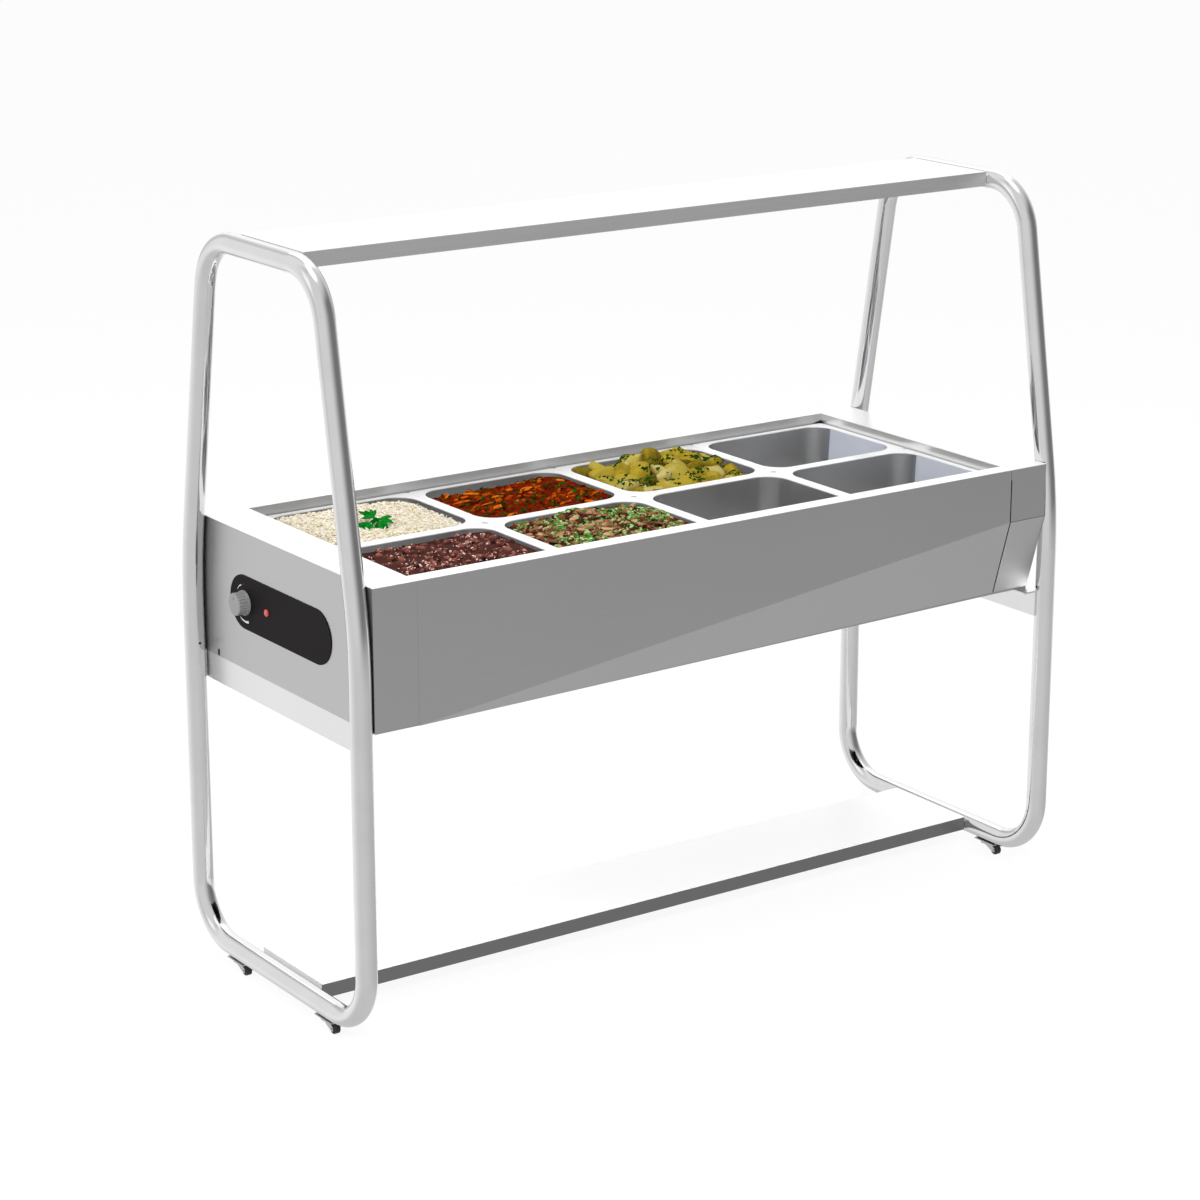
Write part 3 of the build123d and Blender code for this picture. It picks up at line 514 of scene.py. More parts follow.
# %% Body panels
front_steel = brushed_steel("front_steel", 0.56, 0.35, ALONG_X, edge=fine_edge)
dress(front_steel, "front_panel", "front_left_corner_panel", "front_right_corner_panel")
dress(brushed_steel("rear_steel", 0.53, 0.35, ALONG_X), "rear_panel")
base_steel = brushed_steel("base_steel", 0.6, 0.35, ALONG_X, edge=0.0)
# The base panel's underside is painted black, as painted shade.
paint_underside_shade(base_steel)
dress(base_steel, "base_panel")
dress(brushed_steel("end_steel", 0.57, 0.34, ALONG_Y), "left_end_panel", "right_end_panel")
dress(brushed_steel("rail_steel", 0.87, 0.3, ALONG_Y), "left_cross_rail", "right_cross_rail")

# %% [markdown]
# ## Deck and shelves
# The tops of the deck and of both shelves are painted far paler than their lips, as painted light. Each is
# one folded sheet, so it keeps one material, and a mask by height changes the tone where the top begins. On
# the right-hand side of the well the deck has more painted light: its ledge is painted as pale as the top,
# and its wall is painted brighter, a painted reflection, and made shinier. Both lie in the same place, so
# they are told apart by the way their faces look.

# %% Deck
top_skin = 0.0012
deck_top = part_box("top_deck")[1].z
# Where the right-hand side of the well is painted lighter, as painted light.
painted_light_side_from = 0.645
painted_light_side_fade = 0.0005
painted_light_side_under = 0.0015
facing_from = 0.7
facing_to = 0.9


def painted_light_side(material, axis, sense, tone, metal, roughness):
    """Painted light on the right-hand side of the well, on the faces that look one way along an axis: a
    brighter tone, and its own metal and roughness.
    """
    tree = material.node_tree
    shader = tree.nodes["Principled BSDF"]
    turned = calc(tree, "MULTIPLY", looking(material, axis), sense)
    facing = step_up(tree, turned, facing_from, facing_to)
    right = beyond(material, "X", painted_light_side_from, painted_light_side_from + painted_light_side_fade)
    below = calc(tree, "SUBTRACT", 1.0, beyond(material, "Z", deck_top - painted_light_side_under, deck_top - top_skin))
    mask = calc(tree, "MULTIPLY", facing, calc(tree, "MULTIPLY", right, below))
    for name, value in (("Base Color", tone), ("Metallic", metal), ("Roughness", roughness)):
        socket = shader.inputs[name]
        join(material, between(tree, mask, socket.links[0].from_socket, value), socket)


deck_painted_light = [("Z", deck_top - top_skin)]
deck_steel = brushed_steel(
    "deck_steel", 0.54, 0.32, ALONG_X, metal=0.5, painted_light_from=deck_painted_light, painted_light_metal=0.15)
# The ledge is painted as pale as the top, as painted light.
painted_light_side(deck_steel, "Z", 1.0, tone=painted_light_tone, metal=0.15, roughness=0.32)
# The wall is painted brighter, a painted reflection, and made shinier.
painted_light_side(deck_steel, "X", -1.0, tone=0.9, metal=0.75, roughness=0.27)
dress(deck_steel, "top_deck")

# %% Shelves
lip_skin = 0.002
roof_painted_light = [("Z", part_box("roof_shelf")[1].z - top_skin)]
dress(brushed_steel("roof_steel", 0.81, 0.42, ALONG_X, painted_light_from=roof_painted_light), "roof_shelf")
low_front, low_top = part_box("lower_shelf")[0].y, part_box("lower_shelf")[1].z
low_shelf_painted_light = [("Z", low_top - top_skin), ("Y", low_front + lip_skin)]
# Its lip is painted dark, as painted shade near the floor; its top is painted pale, as painted light.
low_steel = brushed_steel("low_shelf_steel", 0.28, 0.42, ALONG_X, painted_light_from=low_shelf_painted_light, painted_light_metal=0.0)
dress(low_steel, "lower_shelf")

# %% Inner steel and castors
tank_steel = brushed_steel("tank_steel", 0.6, 0.45, ALONG_X)
dress(tank_steel, "water_tank", "pan_support_grid", "drain_pipe", "element_clamps")
screw_steel = brushed_steel("screw_steel", 0.7, 0.3, ALONG_X, edge=0.0003)
dress(screw_steel, "frame_screws", "tube_inserts", "thermostat_shaft", "drain_lever")
castor_names = [f"{end}_{side}" for end in ("front", "rear") for side in ("left", "right")]
zinc_steel = brushed_steel("zinc_steel", 0.55, 0.4, ALONG_Y, edge=fine_edge)
dress(zinc_steel, "castor_plates", *[f"castor_fork_{name}" for name in castor_names])

# %% [markdown]
# ## Pans
# A pan is drawn from a flat sheet of steel, so it isn't brushed one way. Its satin skin is a fine, even
# grain with broad, faint clouds, which noises without any stretch give well. Its rim is painted pale, as
# painted light on the top edge. In the two end pans the bright side ends at a clear edge in the rear corner.
# A sharper reflection could draw that edge, but it would also change the other walls, so a patch of painted
# shade with one hard side marks it.

# %% Satin pan steel
rim_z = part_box("pan_rear_1")[1].z
pan_tone = 0.64
pan_roughness = 0.3
satin_grain = 700.0
satin_clouds = 9.0
# The rim is painted pale, as painted light on the pan's top edge.
rim_painted_light_tone = 0.96
rim_metal = 0.3
rim_from = 0.0025
rim_to = 0.0005
# A patch of painted shade in the rear corner of the two end pans, with one hard edge.
painted_shade_share = 0.4
painted_shade_edge = 0.0008
painted_shade_solid = 0.004
painted_shade_end = 0.019
painted_shade_side = 0.004


def satin_steel(name, painted_shade_corner=None):
    """Deep-drawn steel with an even satin grain: dull inside, and painted pale on the rim, as painted light.

    A corner of painted shade, given by its X and Y, starts at a clear edge and fades out towards the rear.
    """
    material, shader = new_material(name)
    tree = material.node_tree
    fine = even_noise(material, satin_grain, detail=3.0)
    broad = even_noise(material, satin_clouds, detail=3.0, offset=2.0)
    rim_painted_light = beyond(material, "Z", rim_z - rim_from, rim_z - rim_to)
    inside_tone = pan_tone
    # The corner is painted darker, as painted shade that ends at a clear edge.
    if painted_shade_corner:
        corner_x, corner_y = painted_shade_corner
        edge = beyond(material, "Y", corner_y, corner_y + painted_shade_edge)
        faded = beyond(material, "Y", corner_y + painted_shade_solid, corner_y + painted_shade_end)
        painted_shade = calc(tree, "SUBTRACT", edge, faded)
        painted_shade = calc(tree, "MULTIPLY", painted_shade, beyond(material, "X", corner_x, corner_x + painted_shade_side))
        inside_tone = between(tree, painted_shade, pan_tone, pan_tone * painted_shade_share)
    tone = between(tree, rim_painted_light, inside_tone, rim_painted_light_tone)
    tone = calc(tree, "MULTIPLY", tone, remap(material, broad, 0.95, 1.03, 0.35, 0.65))
    join(material, tone, shader.inputs["Base Color"])
    rough = remap(material, fine, pan_roughness * 0.92, pan_roughness * 1.08)
    join(material, rough, shader.inputs["Roughness"])
    join(material, between(tree, rim_painted_light, 1.0, rim_metal), shader.inputs["Metallic"])
    bump(material, shader, fine, 0.00001, strength=0.4, edge=0.0006)
    return material


corner_inset = 0.032
corner_behind = 0.0838
pan_rows = ("front", "rear")
dress(satin_steel("pan_steel"), *[f"pan_{row}_{column}" for row in pan_rows for column in (1, 2, 3)])
for row in pan_rows:
    end_pan = f"pan_{row}_4"
    pan_low, pan_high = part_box(end_pan)
    painted_shade_corner = (pan_high.x - corner_inset, (pan_low.y + pan_high.y) / 2 + corner_behind)
    dress(satin_steel(f"{end_pan}_steel", painted_shade_corner), end_pan)

# %% [markdown]
# ## Polished tube
# The hoops are bent from polished tube. It is nearly a mirror: a low roughness, with long faint polishing
# lines that only change the roughness a little, so the streaks stay crisp. A perfect mirror would be
# simpler, but it looks drawn, because real tube is never that even.

# %% Polished tube
tube_steel, tube_shader = new_material("tube_steel")
polish_lines = stretched_noise(tube_steel, (260.0, 260.0, 3.0), detail=2.0)
smears = even_noise(tube_steel, 14.0, detail=3.0, offset=1.0)
tube_tones = [(0.3, grey(0.78)), (0.7, grey(0.82))]
join(tube_steel, ramp(tube_steel, smears, tube_tones), tube_shader.inputs["Base Color"])
join(tube_steel, remap(tube_steel, polish_lines, 0.09, 0.15), tube_shader.inputs["Roughness"])
tube_shader.inputs["Metallic"].default_value = 1.0
bump(tube_steel, tube_shader, smears, 0.00002, strength=0.3)
dress(tube_steel, "left_hoop", "right_hoop")

# %% [markdown]
# ## Plastics, rubber and the inner works
# The other parts are moulded, cast or drawn. One recipe serves them all: a base colour that a fine noise
# varies a little, a roughness, and a shallow bump. Metals take the same recipe with the metallic value up.


# %% Plain finishes
def plain_finish(
        name, colour, roughness, metallic=0.0, grain=600.0, relief=0.00003, vary=0.08, coat=0.0, shine=0.5):
    """A finish of one colour with a fine grain."""
    material, shader = new_material(name)
    fine = even_noise(material, grain, detail=3.0)
    dark = tuple(part * (1.0 - vary) for part in colour)
    light = tuple(min(part * (1.0 + vary), 1.0) for part in colour)
    join(material, ramp(material, fine, [(0.35, dark), (0.65, light)]), shader.inputs["Base Color"])
    set_inputs(shader, {
        "Roughness": roughness, "Metallic": metallic, "Specular IOR Level": shine,
        "Coat Weight": coat, "Coat Roughness": 0.08})
    bump(material, shader, fine, relief, strength=0.5, edge=fine_edge)
    return material


print("plain finish: one colour with a fine grain")

# %% Controls and rubber
dress(plain_finish("control_black", (0.01, 0.0083, 0.0086), 0.6, shine=0.1), "control_plate")
dress(plain_finish("knob_grey", grey(0.31), 0.5), "control_knob")
dress(plain_finish("lamp_red", (0.71, 0.059, 0.065), 0.3, coat=1.0), "pilot_lamp_lens")
rubber = plain_finish("rubber", (0.029, 0.029, 0.03), 0.6, relief=0.00006)
dress(rubber, "body_washers", *[f"castor_wheel_{name}" for name in castor_names])

# %% Inner works
dress(plain_finish("gland_black", (0.02, 0.02, 0.021), 0.45), "cable_gland", "pilot_lamp_body")
dress(plain_finish("terminal_plastic", (0.62, 0.6, 0.54), 0.5), "terminal_block", "thermostat_body")
dress(plain_finish("wire_sleeve", (0.3, 0.12, 0.05), 0.5), "internal_wiring")
dress(plain_finish("element_sheath", (0.2, 0.19, 0.18), 0.5, metallic=1.0), "heating_element")
dress(plain_finish("capillary_copper", (0.72, 0.36, 0.2), 0.3, metallic=1.0), "thermostat_bulb")
dress(plain_finish("valve_brass", (0.72, 0.52, 0.22), 0.3, metallic=1.0), "drain_valve")
wool = plain_finish("insulation_wool", (0.6, 0.5, 0.26), 0.9, grain=220.0, relief=0.002, vary=0.3)
dress(wool, "tank_insulation")

# %% [markdown]
# ## Printed marks
# Thin marks sit on the control plate round the knob. A picture could be laid on the plate, but each mark is
# a closed sliver a quarter of a millimetre thick here, so it stays sharp from near by: a strip of an arc
# whose width changes along it, or a small flat disc. The pointer rides on the knob and turns with it.


# %% Mesh helper
def make_piece(name, points, faces, material, body, tones=None, smooth=True, mirrored=True):
    """A closed mesh with a finish that moves with a CAD body. Tones are one number for each point."""
    mesh = bpy.data.meshes.new(name)
    mesh.from_pydata(np.asarray(points).tolist(), [], faces)
    work = bmesh.new()
    work.from_mesh(mesh)
    bmesh.ops.recalc_face_normals(work, faces=work.faces)
    work.to_mesh(mesh)
    work.free()
    mesh.polygons.foreach_set("use_smooth", [smooth] * len(mesh.polygons))
    values = np.full(len(mesh.vertices), 0.5) if tones is None else np.asarray(tones)
    mesh.attributes.new("tone", "FLOAT", "POINT").data.foreach_set("value", values.astype(np.float32))
    mesh.materials.append(material)
    piece = bpy.data.objects.new(name, mesh)
    bpy.context.scene.collection.objects.link(piece)
    piece.visible_glossy = mirrored
    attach(piece, body)
    print(name, len(mesh.vertices), "points", len(mesh.polygons), "faces")
    return piece


def tube_faces(start):
    """The four sides of a square tube between two rings of four points that follow each other."""
    return [(start + i, start + j, start + 4 + j, start + 4 + i) for i, j in ((0, 1), (1, 3), (3, 2), (2, 0))]


print("mesh helpers: a closed piece, and the sides of a tube")

# %% Dial marks
knob_low, knob_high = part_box("control_knob")
knob_y = (knob_low.y + knob_high.y) / 2
knob_z = (knob_low.z + knob_high.z) / 2
plate_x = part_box("control_plate")[0].x
mark_thick = 0.00025
print_white = plain_finish("print_white", grey(0.9), 0.5)
# This dark grey prints the dots, and also paints the shade along the crease.
mark_and_shade_grey = plain_finish("mark_and_shade_grey", grey(0.07), 0.5)


def arc_mark(name, radius, start_deg, end_deg, start_width, end_width, steps=16):
    """A strip of an arc round the knob. Angles run from the top towards the rear."""
    points = []
    for step in range(steps + 1):
        part = step / steps
        angle = radians(start_deg + (end_deg - start_deg) * part)
        width = start_width + (end_width - start_width) * part
        for r in (radius - width / 2, radius + width / 2):
            y, z = knob_y + r * sin(angle), knob_z + r * cos(angle)
            points += [(plate_x, y, z), (plate_x - mark_thick, y, z)]
    last = 4 * steps
    faces = [(0, 1, 3, 2), (last, last + 1, last + 3, last + 2)]
    for step in range(steps):
        faces += tube_faces(4 * step)
    return make_piece(name, points, faces, print_white, counter, smooth=False)


arc_mark("dial_mark_upper", 0.032, start_deg=21.0, end_deg=53.0, start_width=0.0022, end_width=0.0009)
arc_mark("dial_mark_lower", 0.035, start_deg=149.0, end_deg=199.0, start_width=0.0012, end_width=0.0042)


# %% Dots
def disc(name, centre, normal, radius, thick, material, body, count=20):
    """A flat round disc that stands on a surface."""
    axis = Vector(normal).normalized()
    side = axis.orthogonal().normalized()
    other = axis.cross(side)
    points = []
    for rise in (0.0, thick):
        for i in range(count):
            angle = 2 * pi * i / count
            points.append(Vector(centre) + radius * (cos(angle) * side + sin(angle) * other) + rise * axis)
    faces = [tuple(range(count)), tuple(range(count, 2 * count))]
    faces += [(i, (i + 1) % count, count + (i + 1) % count, count + i) for i in range(count)]
    return make_piece(name, points, faces, material, body, smooth=False)


toward_user = (-1.0, 0.0, 0.0)
dot_radius = 0.0012
dot = (plate_x, knob_y + 0.002, knob_z + 0.033)
disc("dial_dot", dot, toward_user, dot_radius, mark_thick, mark_and_shade_grey, counter)
pointer_radius = 0.0015
pointer = (knob_low.x, knob_y + 0.0022, knob_z + 0.0099)
disc("knob_pointer", pointer, toward_user, pointer_radius, mark_thick, mark_and_shade_grey, "knob")

# %% [markdown]
# ## Seams
# The left seam of the front is closed by a tongue just behind its face, and the crease in the right corner
# is a fine dark line of painted shade. Both are bars between two corners. The line could be a bump in the
# panel's finish, but a bar this thin stays sharp and dark from every side. The front leans in towards the
# right, and a lip closes the wedge between it and the base: a thin strip that follows the front's lower edge
# and grows taller along it.


# %% Tongue and crease
def bar(name, low, high, material):
    """A closed bar between two corners that belongs to the body."""
    (x0, y0, z0), (x1, y1, z1) = low, high
    points = [(x, y, z) for x in (x0, x1) for y in (y0, y1) for z in (z0, z1)]
    faces = [(0, 1, 3, 2), (4, 6, 7, 5), (0, 4, 5, 1), (2, 3, 7, 6), (0, 2, 6, 4), (1, 5, 7, 3)]
    return make_piece(name, points, faces, material, counter, smooth=False)


left_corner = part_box("front_left_corner_panel")
right_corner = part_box("front_right_corner_panel")
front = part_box("front_panel")
front_y = front[0].y
tongue_face = 0.0003
tongue_back = 0.001
seam_low = (left_corner[1].x, front_y + tongue_face, left_corner[0].z)
seam_high = (front[0].x, front_y + tongue_back, left_corner[1].z)
bar("left_seam_tongue", seam_low, seam_high, front_steel)
crease_drop = 0.102
crease_half = 0.0005
crease_start = 0.0018
crease_face = 0.0002
crease_back = 0.0003
crease_z = deck_top - crease_drop
crease_low = (right_corner[0].x + crease_start, front_y - crease_face, crease_z - crease_half)
crease_high = (right_corner[1].x, front_y + crease_back, crease_z + crease_half)
# A dark bar along the crease, painted shade.
bar("right_crease_shade_line", crease_low, crease_high, mark_and_shade_grey)

# %% Lip under the front
lip_inset = 0.0003
lip_thick = 0.001
lip_tail = 0.0002
lip_end_gap = 0.0015
front_lean = 0.042
lip_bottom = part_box("base_panel")[0].z
lip_tip = right_corner[0].z - lip_bottom
lean_y = front_y + front_lean
lip_ends = [
    (front[0].x, front_y, lip_tail), (front[1].x, lean_y, lip_tip),
    (right_corner[1].x - lip_end_gap, lean_y, lip_tip)]
lip_points = []
for x, y, rise in lip_ends:
    for inset in (lip_inset, lip_inset + lip_thick):
        lip_points += [(x, y + inset, lip_bottom), (x, y + inset, lip_bottom + rise)]
lip_faces = [(0, 1, 3, 2), (8, 9, 11, 10)] + tube_faces(0) + tube_faces(4)
make_piece("front_lip", lip_points, lip_faces, front_steel, counter, smooth=False)

# %% [markdown]
# ## Tube plugs
# A small plug closes a hole in two of the tubes. It is a flat disc that is turned to the tube's own surface
# at the point nearest to where it belongs, so it lies on the bent tube without any measuring.

# %% Tube plugs
plug_radius = 0.0026
plug_thick = 0.0006
plug_sink = 0.0002


def tube_plug(name, hoop, near):
    """A small dark plug on a tube, at the point of its surface nearest to a given one."""
    _, place, normal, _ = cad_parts[hoop].closest_point_on_mesh(Vector(near))
    return disc(name, place - normal * plug_sink, normal, plug_radius, plug_thick, rubber, counter)


tube_plug("left_tube_plug", "left_hoop", (-0.76, 0.262, 0.593))
tube_plug("right_tube_plug", "right_hoop", (0.735, -0.287, 0.582))

# %% [markdown]
# ## Food: shapes
# Every dish is built the same way. A bed fills the pan: rings of points over its top, and sides that
# follow the pan's sloped wall down to the floor. On the bed lie many copies of one small shape, such as a
# grain, a bean or a strip, each with its own place, turn, size and tone. All copies of a kind are one
# mesh, and the tone is stored on its points, where the material reads it. A physics engine could drop the
# pieces instead, but thousands of them take long, and every change would move them all. A last step
# pushes any point that would pass through the pan's wall back to its inside.

# %% Pan inside
rng = np.random.default_rng(7)
Dish = namedtuple("Dish", "node row column slot")
pan_x = {1: -0.4875, 2: -0.1625, 3: 0.1625}
pan_y = {"front": -0.1325, "rear": 0.1325}
pan_depth = 0.0991
floor_z = rim_z - pan_depth
inside_half = np.array([0.150, 0.120])
inside_corner = 0.045
wall_slope = tan(radians(3.0))
wall_gap = 0.0005
straight_half = inside_half - inside_corner


def pan_centre(dish):
    """The middle of a dish's pan."""
    return (pan_x[dish.column], pan_y[dish.row], 0.0)


def pan_set(dish):
    """The body that a dish moves with: its pan."""
    return f"pan_{dish.row}_{dish.column}_set"


def keep_inside(points):
    """Points beyond the pan's inner wall, pushed back onto it. They are relative to the pan's centre."""
    points = np.array(points, dtype=float)
    inset = (rim_z - points[:, 2]).clip(min=0.0) * wall_slope + wall_gap
    core = points[:, :2].clip(-straight_half, straight_half)
    out = points[:, :2] - core
    reach = np.linalg.norm(out, axis=1)
    room_left = inside_corner - inset
    shrink = np.where(reach > room_left, room_left / reach.clip(min=1e-9), 1.0)
    points[:, :2] = core + out * shrink[:, None]
    return points


def outline(per_corner=16, per_side=28):
    """Points round the pan's opening."""
    points = []
    starts = []
    for quarter, (sx, sy) in enumerate(((1, 1), (-1, 1), (-1, -1), (1, -1))):
        centre = straight_half * (sx, sy)
        angles = pi / 2 * (quarter + np.linspace(0.0, 1.0, per_corner))
        starts.append(centre + inside_corner * np.column_stack([np.cos(angles), np.sin(angles)]))
    for arc, following in zip(starts, starts[1:] + starts[:1]):
        points.extend(arc)
        for part in np.linspace(0.0, 1.0, per_side, endpoint=False)[1:]:
            points.append(arc[-1] + (following[0] - arc[-1]) * part)
    return np.array(points)


print("pan inside", tuple(2 * inside_half), "m, outline of", len(outline()), "points")

# %% Bed
crown_width = 1.6
lump_width = 6.0
bed_fillet = ((0.016, 0.0), (0.006, 0.007), (0.0006, 0.017))


def surface(level, heap, lump, scale, seed, bank=0.0):
    """The height of a dish at a point: a crown that falls to a level at the wall, with lumps on it.

    A bank raises the food towards the right-hand wall.
    """

    def height(x, y):
        side = (1.0 - (x / inside_half[0]) ** 2) * (1.0 - (y / inside_half[1]) ** 2)
        side = max(side, 0.0)
        bumps = noise.fractal(Vector((x / scale, y / scale, seed)), 1.0, 2.0, 3)
        rightness = min(max(x / inside_half[0], 0.0), 1.0)
        rise = heap * min(1.0, crown_width * side) + bank * rightness * rightness
        return level + rise + lump * bumps * min(1.0, lump_width * side)

    return height


def food_bed(name, dish, height, look, tone, rings=40):
    """A closed body of food that fills a pan and stands for the dish's plain solid."""
    ring = outline()
    count = len(ring)
    points = []
    for part in np.linspace(1.0, 1.0 / rings, rings):
        points += [(x, y, height(x, y)) for x, y in ring * part]
    points.append((0.0, 0.0, height(0.0, 0.0)))
    top = len(points) - 1
    for rise, inset in bed_fillet:
        points += [(x, y, floor_z + rise) for x, y in ring * (1.0 - inset / inside_half[1])]
    points.append((0.0, 0.0, floor_z + bed_fillet[-1][0]))
    bottom = len(points) - 1
    upper = [range(i * count, (i + 1) * count) for i in range(rings)]
    lower = [range(top + 1 + i * count, top + 1 + (i + 1) * count) for i in range(len(bed_fillet))]
    rows = lower[::-1] + upper
    following = [(i + 1) % count for i in range(count)]
    faces = []
    for first, second in zip(rows, rows[1:]):
        faces += [(first[i], first[j], second[j], second[i]) for i, j in enumerate(following)]
    faces += [(rows[-1][i], rows[-1][j], top) for i, j in enumerate(following)]
    faces += [(rows[0][j], rows[0][i], bottom) for i, j in enumerate(following)]
    points = keep_inside(points) + pan_centre(dish)
    tones = np.full(len(points), tone)
    bed = make_piece(name, points, faces, look, pan_set(dish), tones, mirrored=False)
    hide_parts(dish.node)
    return bed


print("bed: a fillet of", len(bed_fillet), "rings under its top")


# %% Small shapes
def pebble(around, along, square=1.0):
    """A closed ball of unit radius with its poles on X. A square value under 1 makes it boxy."""
    points = [(1.0, 0.0, 0.0)]
    for i in range(1, along):
        tilt = pi * i / along
        for j in range(around):
            turn = 2 * pi * j / around
            points.append((cos(tilt), sin(tilt) * cos(turn), sin(tilt) * sin(turn)))
    points.append((-1.0, 0.0, 0.0))
    points = np.array(points)
    points = np.sign(points) * np.abs(points) ** square
    last = len(points) - 1
    faces = [(0, 1 + j, 1 + (j + 1) % around) for j in range(around)]
    for i in range(along - 2):
        a, b = 1 + i * around, 1 + (i + 1) * around
        faces += [(a + j, b + j, b + (j + 1) % around, a + (j + 1) % around) for j in range(around)]
    a = 1 + (along - 2) * around
    faces += [(a + j, last, a + (j + 1) % around) for j in range(around)]
    return points, faces


def leaf(lobes, depth, count):
    """A closed leaf of unit radius and thickness with a lobed edge, half as thick there."""
    angles = 2 * pi * np.arange(count) / count
    reach = 1.0 - depth * (0.5 + 0.5 * np.cos(lobes * angles))
    edge = np.column_stack([reach * np.cos(angles), reach * np.sin(angles)])
    points = [(x, y, 0.25) for x, y in edge] + [(x, y, -0.25) for x, y in edge]
    points += [(0.0, 0.0, 0.5), (0.0, 0.0, -0.5)]
    faces = []
    for i in range(count):
        j = (i + 1) % count
        faces += [(i, j, 2 * count), (count + j, count + i, 2 * count + 1), (j, i, count + i, count + j)]
    return np.array(points), faces


small_leaf = leaf(lobes=3, depth=0.4, count=12)
broad_leaf = leaf(lobes=4, depth=0.45, count=16)
print("leaves of", len(small_leaf[1]), "and", len(broad_leaf[1]), "faces")


# %% Turns
def spins(yaw, pitch, roll):
    """Rotation matrices from arrays of angles."""
    zero, one = np.zeros_like(yaw), np.ones_like(yaw)

    def stack(*values):
        return np.stack(values, axis=-1).reshape(-1, 3, 3)

    about_z = stack(np.cos(yaw), -np.sin(yaw), zero, np.sin(yaw), np.cos(yaw), zero, zero, zero, one)
    about_y = stack(np.cos(pitch), zero, np.sin(pitch), zero, one, zero, -np.sin(pitch), zero, np.cos(pitch))
    about_x = stack(one, zero, zero, zero, np.cos(roll), -np.sin(roll), zero, np.sin(roll), np.cos(roll))
    return about_z @ about_y @ about_x


def tumbled(count, tilt, roll):
    """Random turns: any yaw, a pitch with a usual tilt, and a roll up to a largest one."""
    yaw = rng.uniform(0, 2 * pi, count)
    pitch = rng.normal(0, tilt, count)
    return spins(yaw, pitch, rng.uniform(0, roll, count))


def upright(normals):
    """Rotation matrices whose Z axis is a normal, turned about it by any yaw."""
    up = np.asarray(normals)
    yaw = rng.uniform(0, 2 * pi, len(up))
    side = np.column_stack([np.cos(yaw), np.sin(yaw), np.zeros_like(yaw)])
    side = side - up * np.sum(side * up, axis=1)[:, None]
    side /= np.linalg.norm(side, axis=1)[:, None]
    return np.stack([side, np.cross(up, side), up], axis=-1)


print("turns: free, tumbled and upright")


# %% Places and sizes
def strew(count, margin):
    """Random points in a pan, a margin away from its wall."""
    found = []
    while len(found) < count:
        point = rng.uniform(-inside_half, inside_half)
        out = np.linalg.norm(point - point.clip(-straight_half, straight_half))
        if out < inside_corner - margin:
            found.append(point)
    return np.array(found)


def clustered(centres, count, spread):
    """Random points that gather round a few centres."""
    return centres[rng.integers(0, len(centres), count)] + rng.normal(0, spread, (count, 2))


def at_height(flat, height, lift):
    """Points with the height of a dish's surface, plus a lift for each."""
    return np.column_stack([flat, np.array([height(x, y) for x, y in flat]) + lift])


def drop_onto(points, faces, flat, most=None):
    """Where straight drops from above meet a mesh: places and normals, up to the most that are wanted."""
    tree = BVHTree.FromPolygons([Vector(point) for point in points], faces)
    places, normals = [], []
    for x, y in flat:
        place, normal, _, _ = tree.ray_cast(Vector((x, y, 1.0)), Vector((0.0, 0.0, -1.0)))
        if place is None:
            continue
        places.append(place)
        normals.append(normal if normal.z > 0 else -normal)
    return np.array(places)[:most], np.array(normals)[:most]


def sized(count, least, most, half_sizes):
    """Half sizes along X, Y and Z, all times one random factor for each copy."""
    return rng.uniform(least, most, (count, 1)) * np.array(half_sizes)


print("places: strewn, clustered, or dropped from above")


# %% Copies
def copies(name, dish, shape, places, turns, sizes, tones, look, bends=None):
    """Many turned, sized and bent copies of one shape in a pan, as one mesh."""
    template, template_faces = shape
    local = template[None, :, :] * sizes[:, None, :]
    if bends is not None:
        local[:, :, 2] -= bends[:, None] * template[None, :, 0] ** 2
    points = np.einsum("nij,nkj->nki", turns, local) + places[:, None, :]
    points = keep_inside(points.reshape(-1, 3))
    faces = []
    for copy in range(len(places)):
        start = copy * len(template)
        faces += [tuple(start + i for i in face) for face in template_faces]
    placed = points + pan_centre(dish)
    tone_points = np.repeat(tones, len(template))
    piece = make_piece(name, placed, faces, look, pan_set(dish), tone_points, mirrored=False)
    return points, faces


print("copies: one mesh for all pieces of a kind")

# %% [markdown]
# ## Food: looks
# Food is never one colour. The material adds the tone of each copy to a noise and reads a colour ramp
# with the sum, so neighbours differ and each piece is mottled. Wet food gets a thin clear coat, which
# carries the small sharp highlights. Pictures of food would look as real, but they repeat and can't be
# tuned piece by piece.


# %% Food material
def food_look(name, stops, roughness, grain, relief, coat=0.0, mottle=0.35):
    """A mottled colour from a ramp, with relief and a wet coat."""
    material, shader = new_material(name)
    tone = add_node(material, "ShaderNodeAttribute", attribute_name="tone")
    fine = even_noise(material, grain)
    shift = calc(material.node_tree, "MULTIPLY_ADD", fine, mottle, -mottle / 2)
    value = calc(material.node_tree, "ADD", tone.outputs["Fac"], shift)
    join(material, ramp(material, value, stops), shader.inputs["Base Color"])
    set_inputs(shader, {
        "Roughness": roughness, "Specular IOR Level": 0.0, "Coat Weight": coat, "Coat Roughness": 0.12})
    bump(material, shader, fine, relief)
    return material


print("food look: a tone for each copy and a noise")

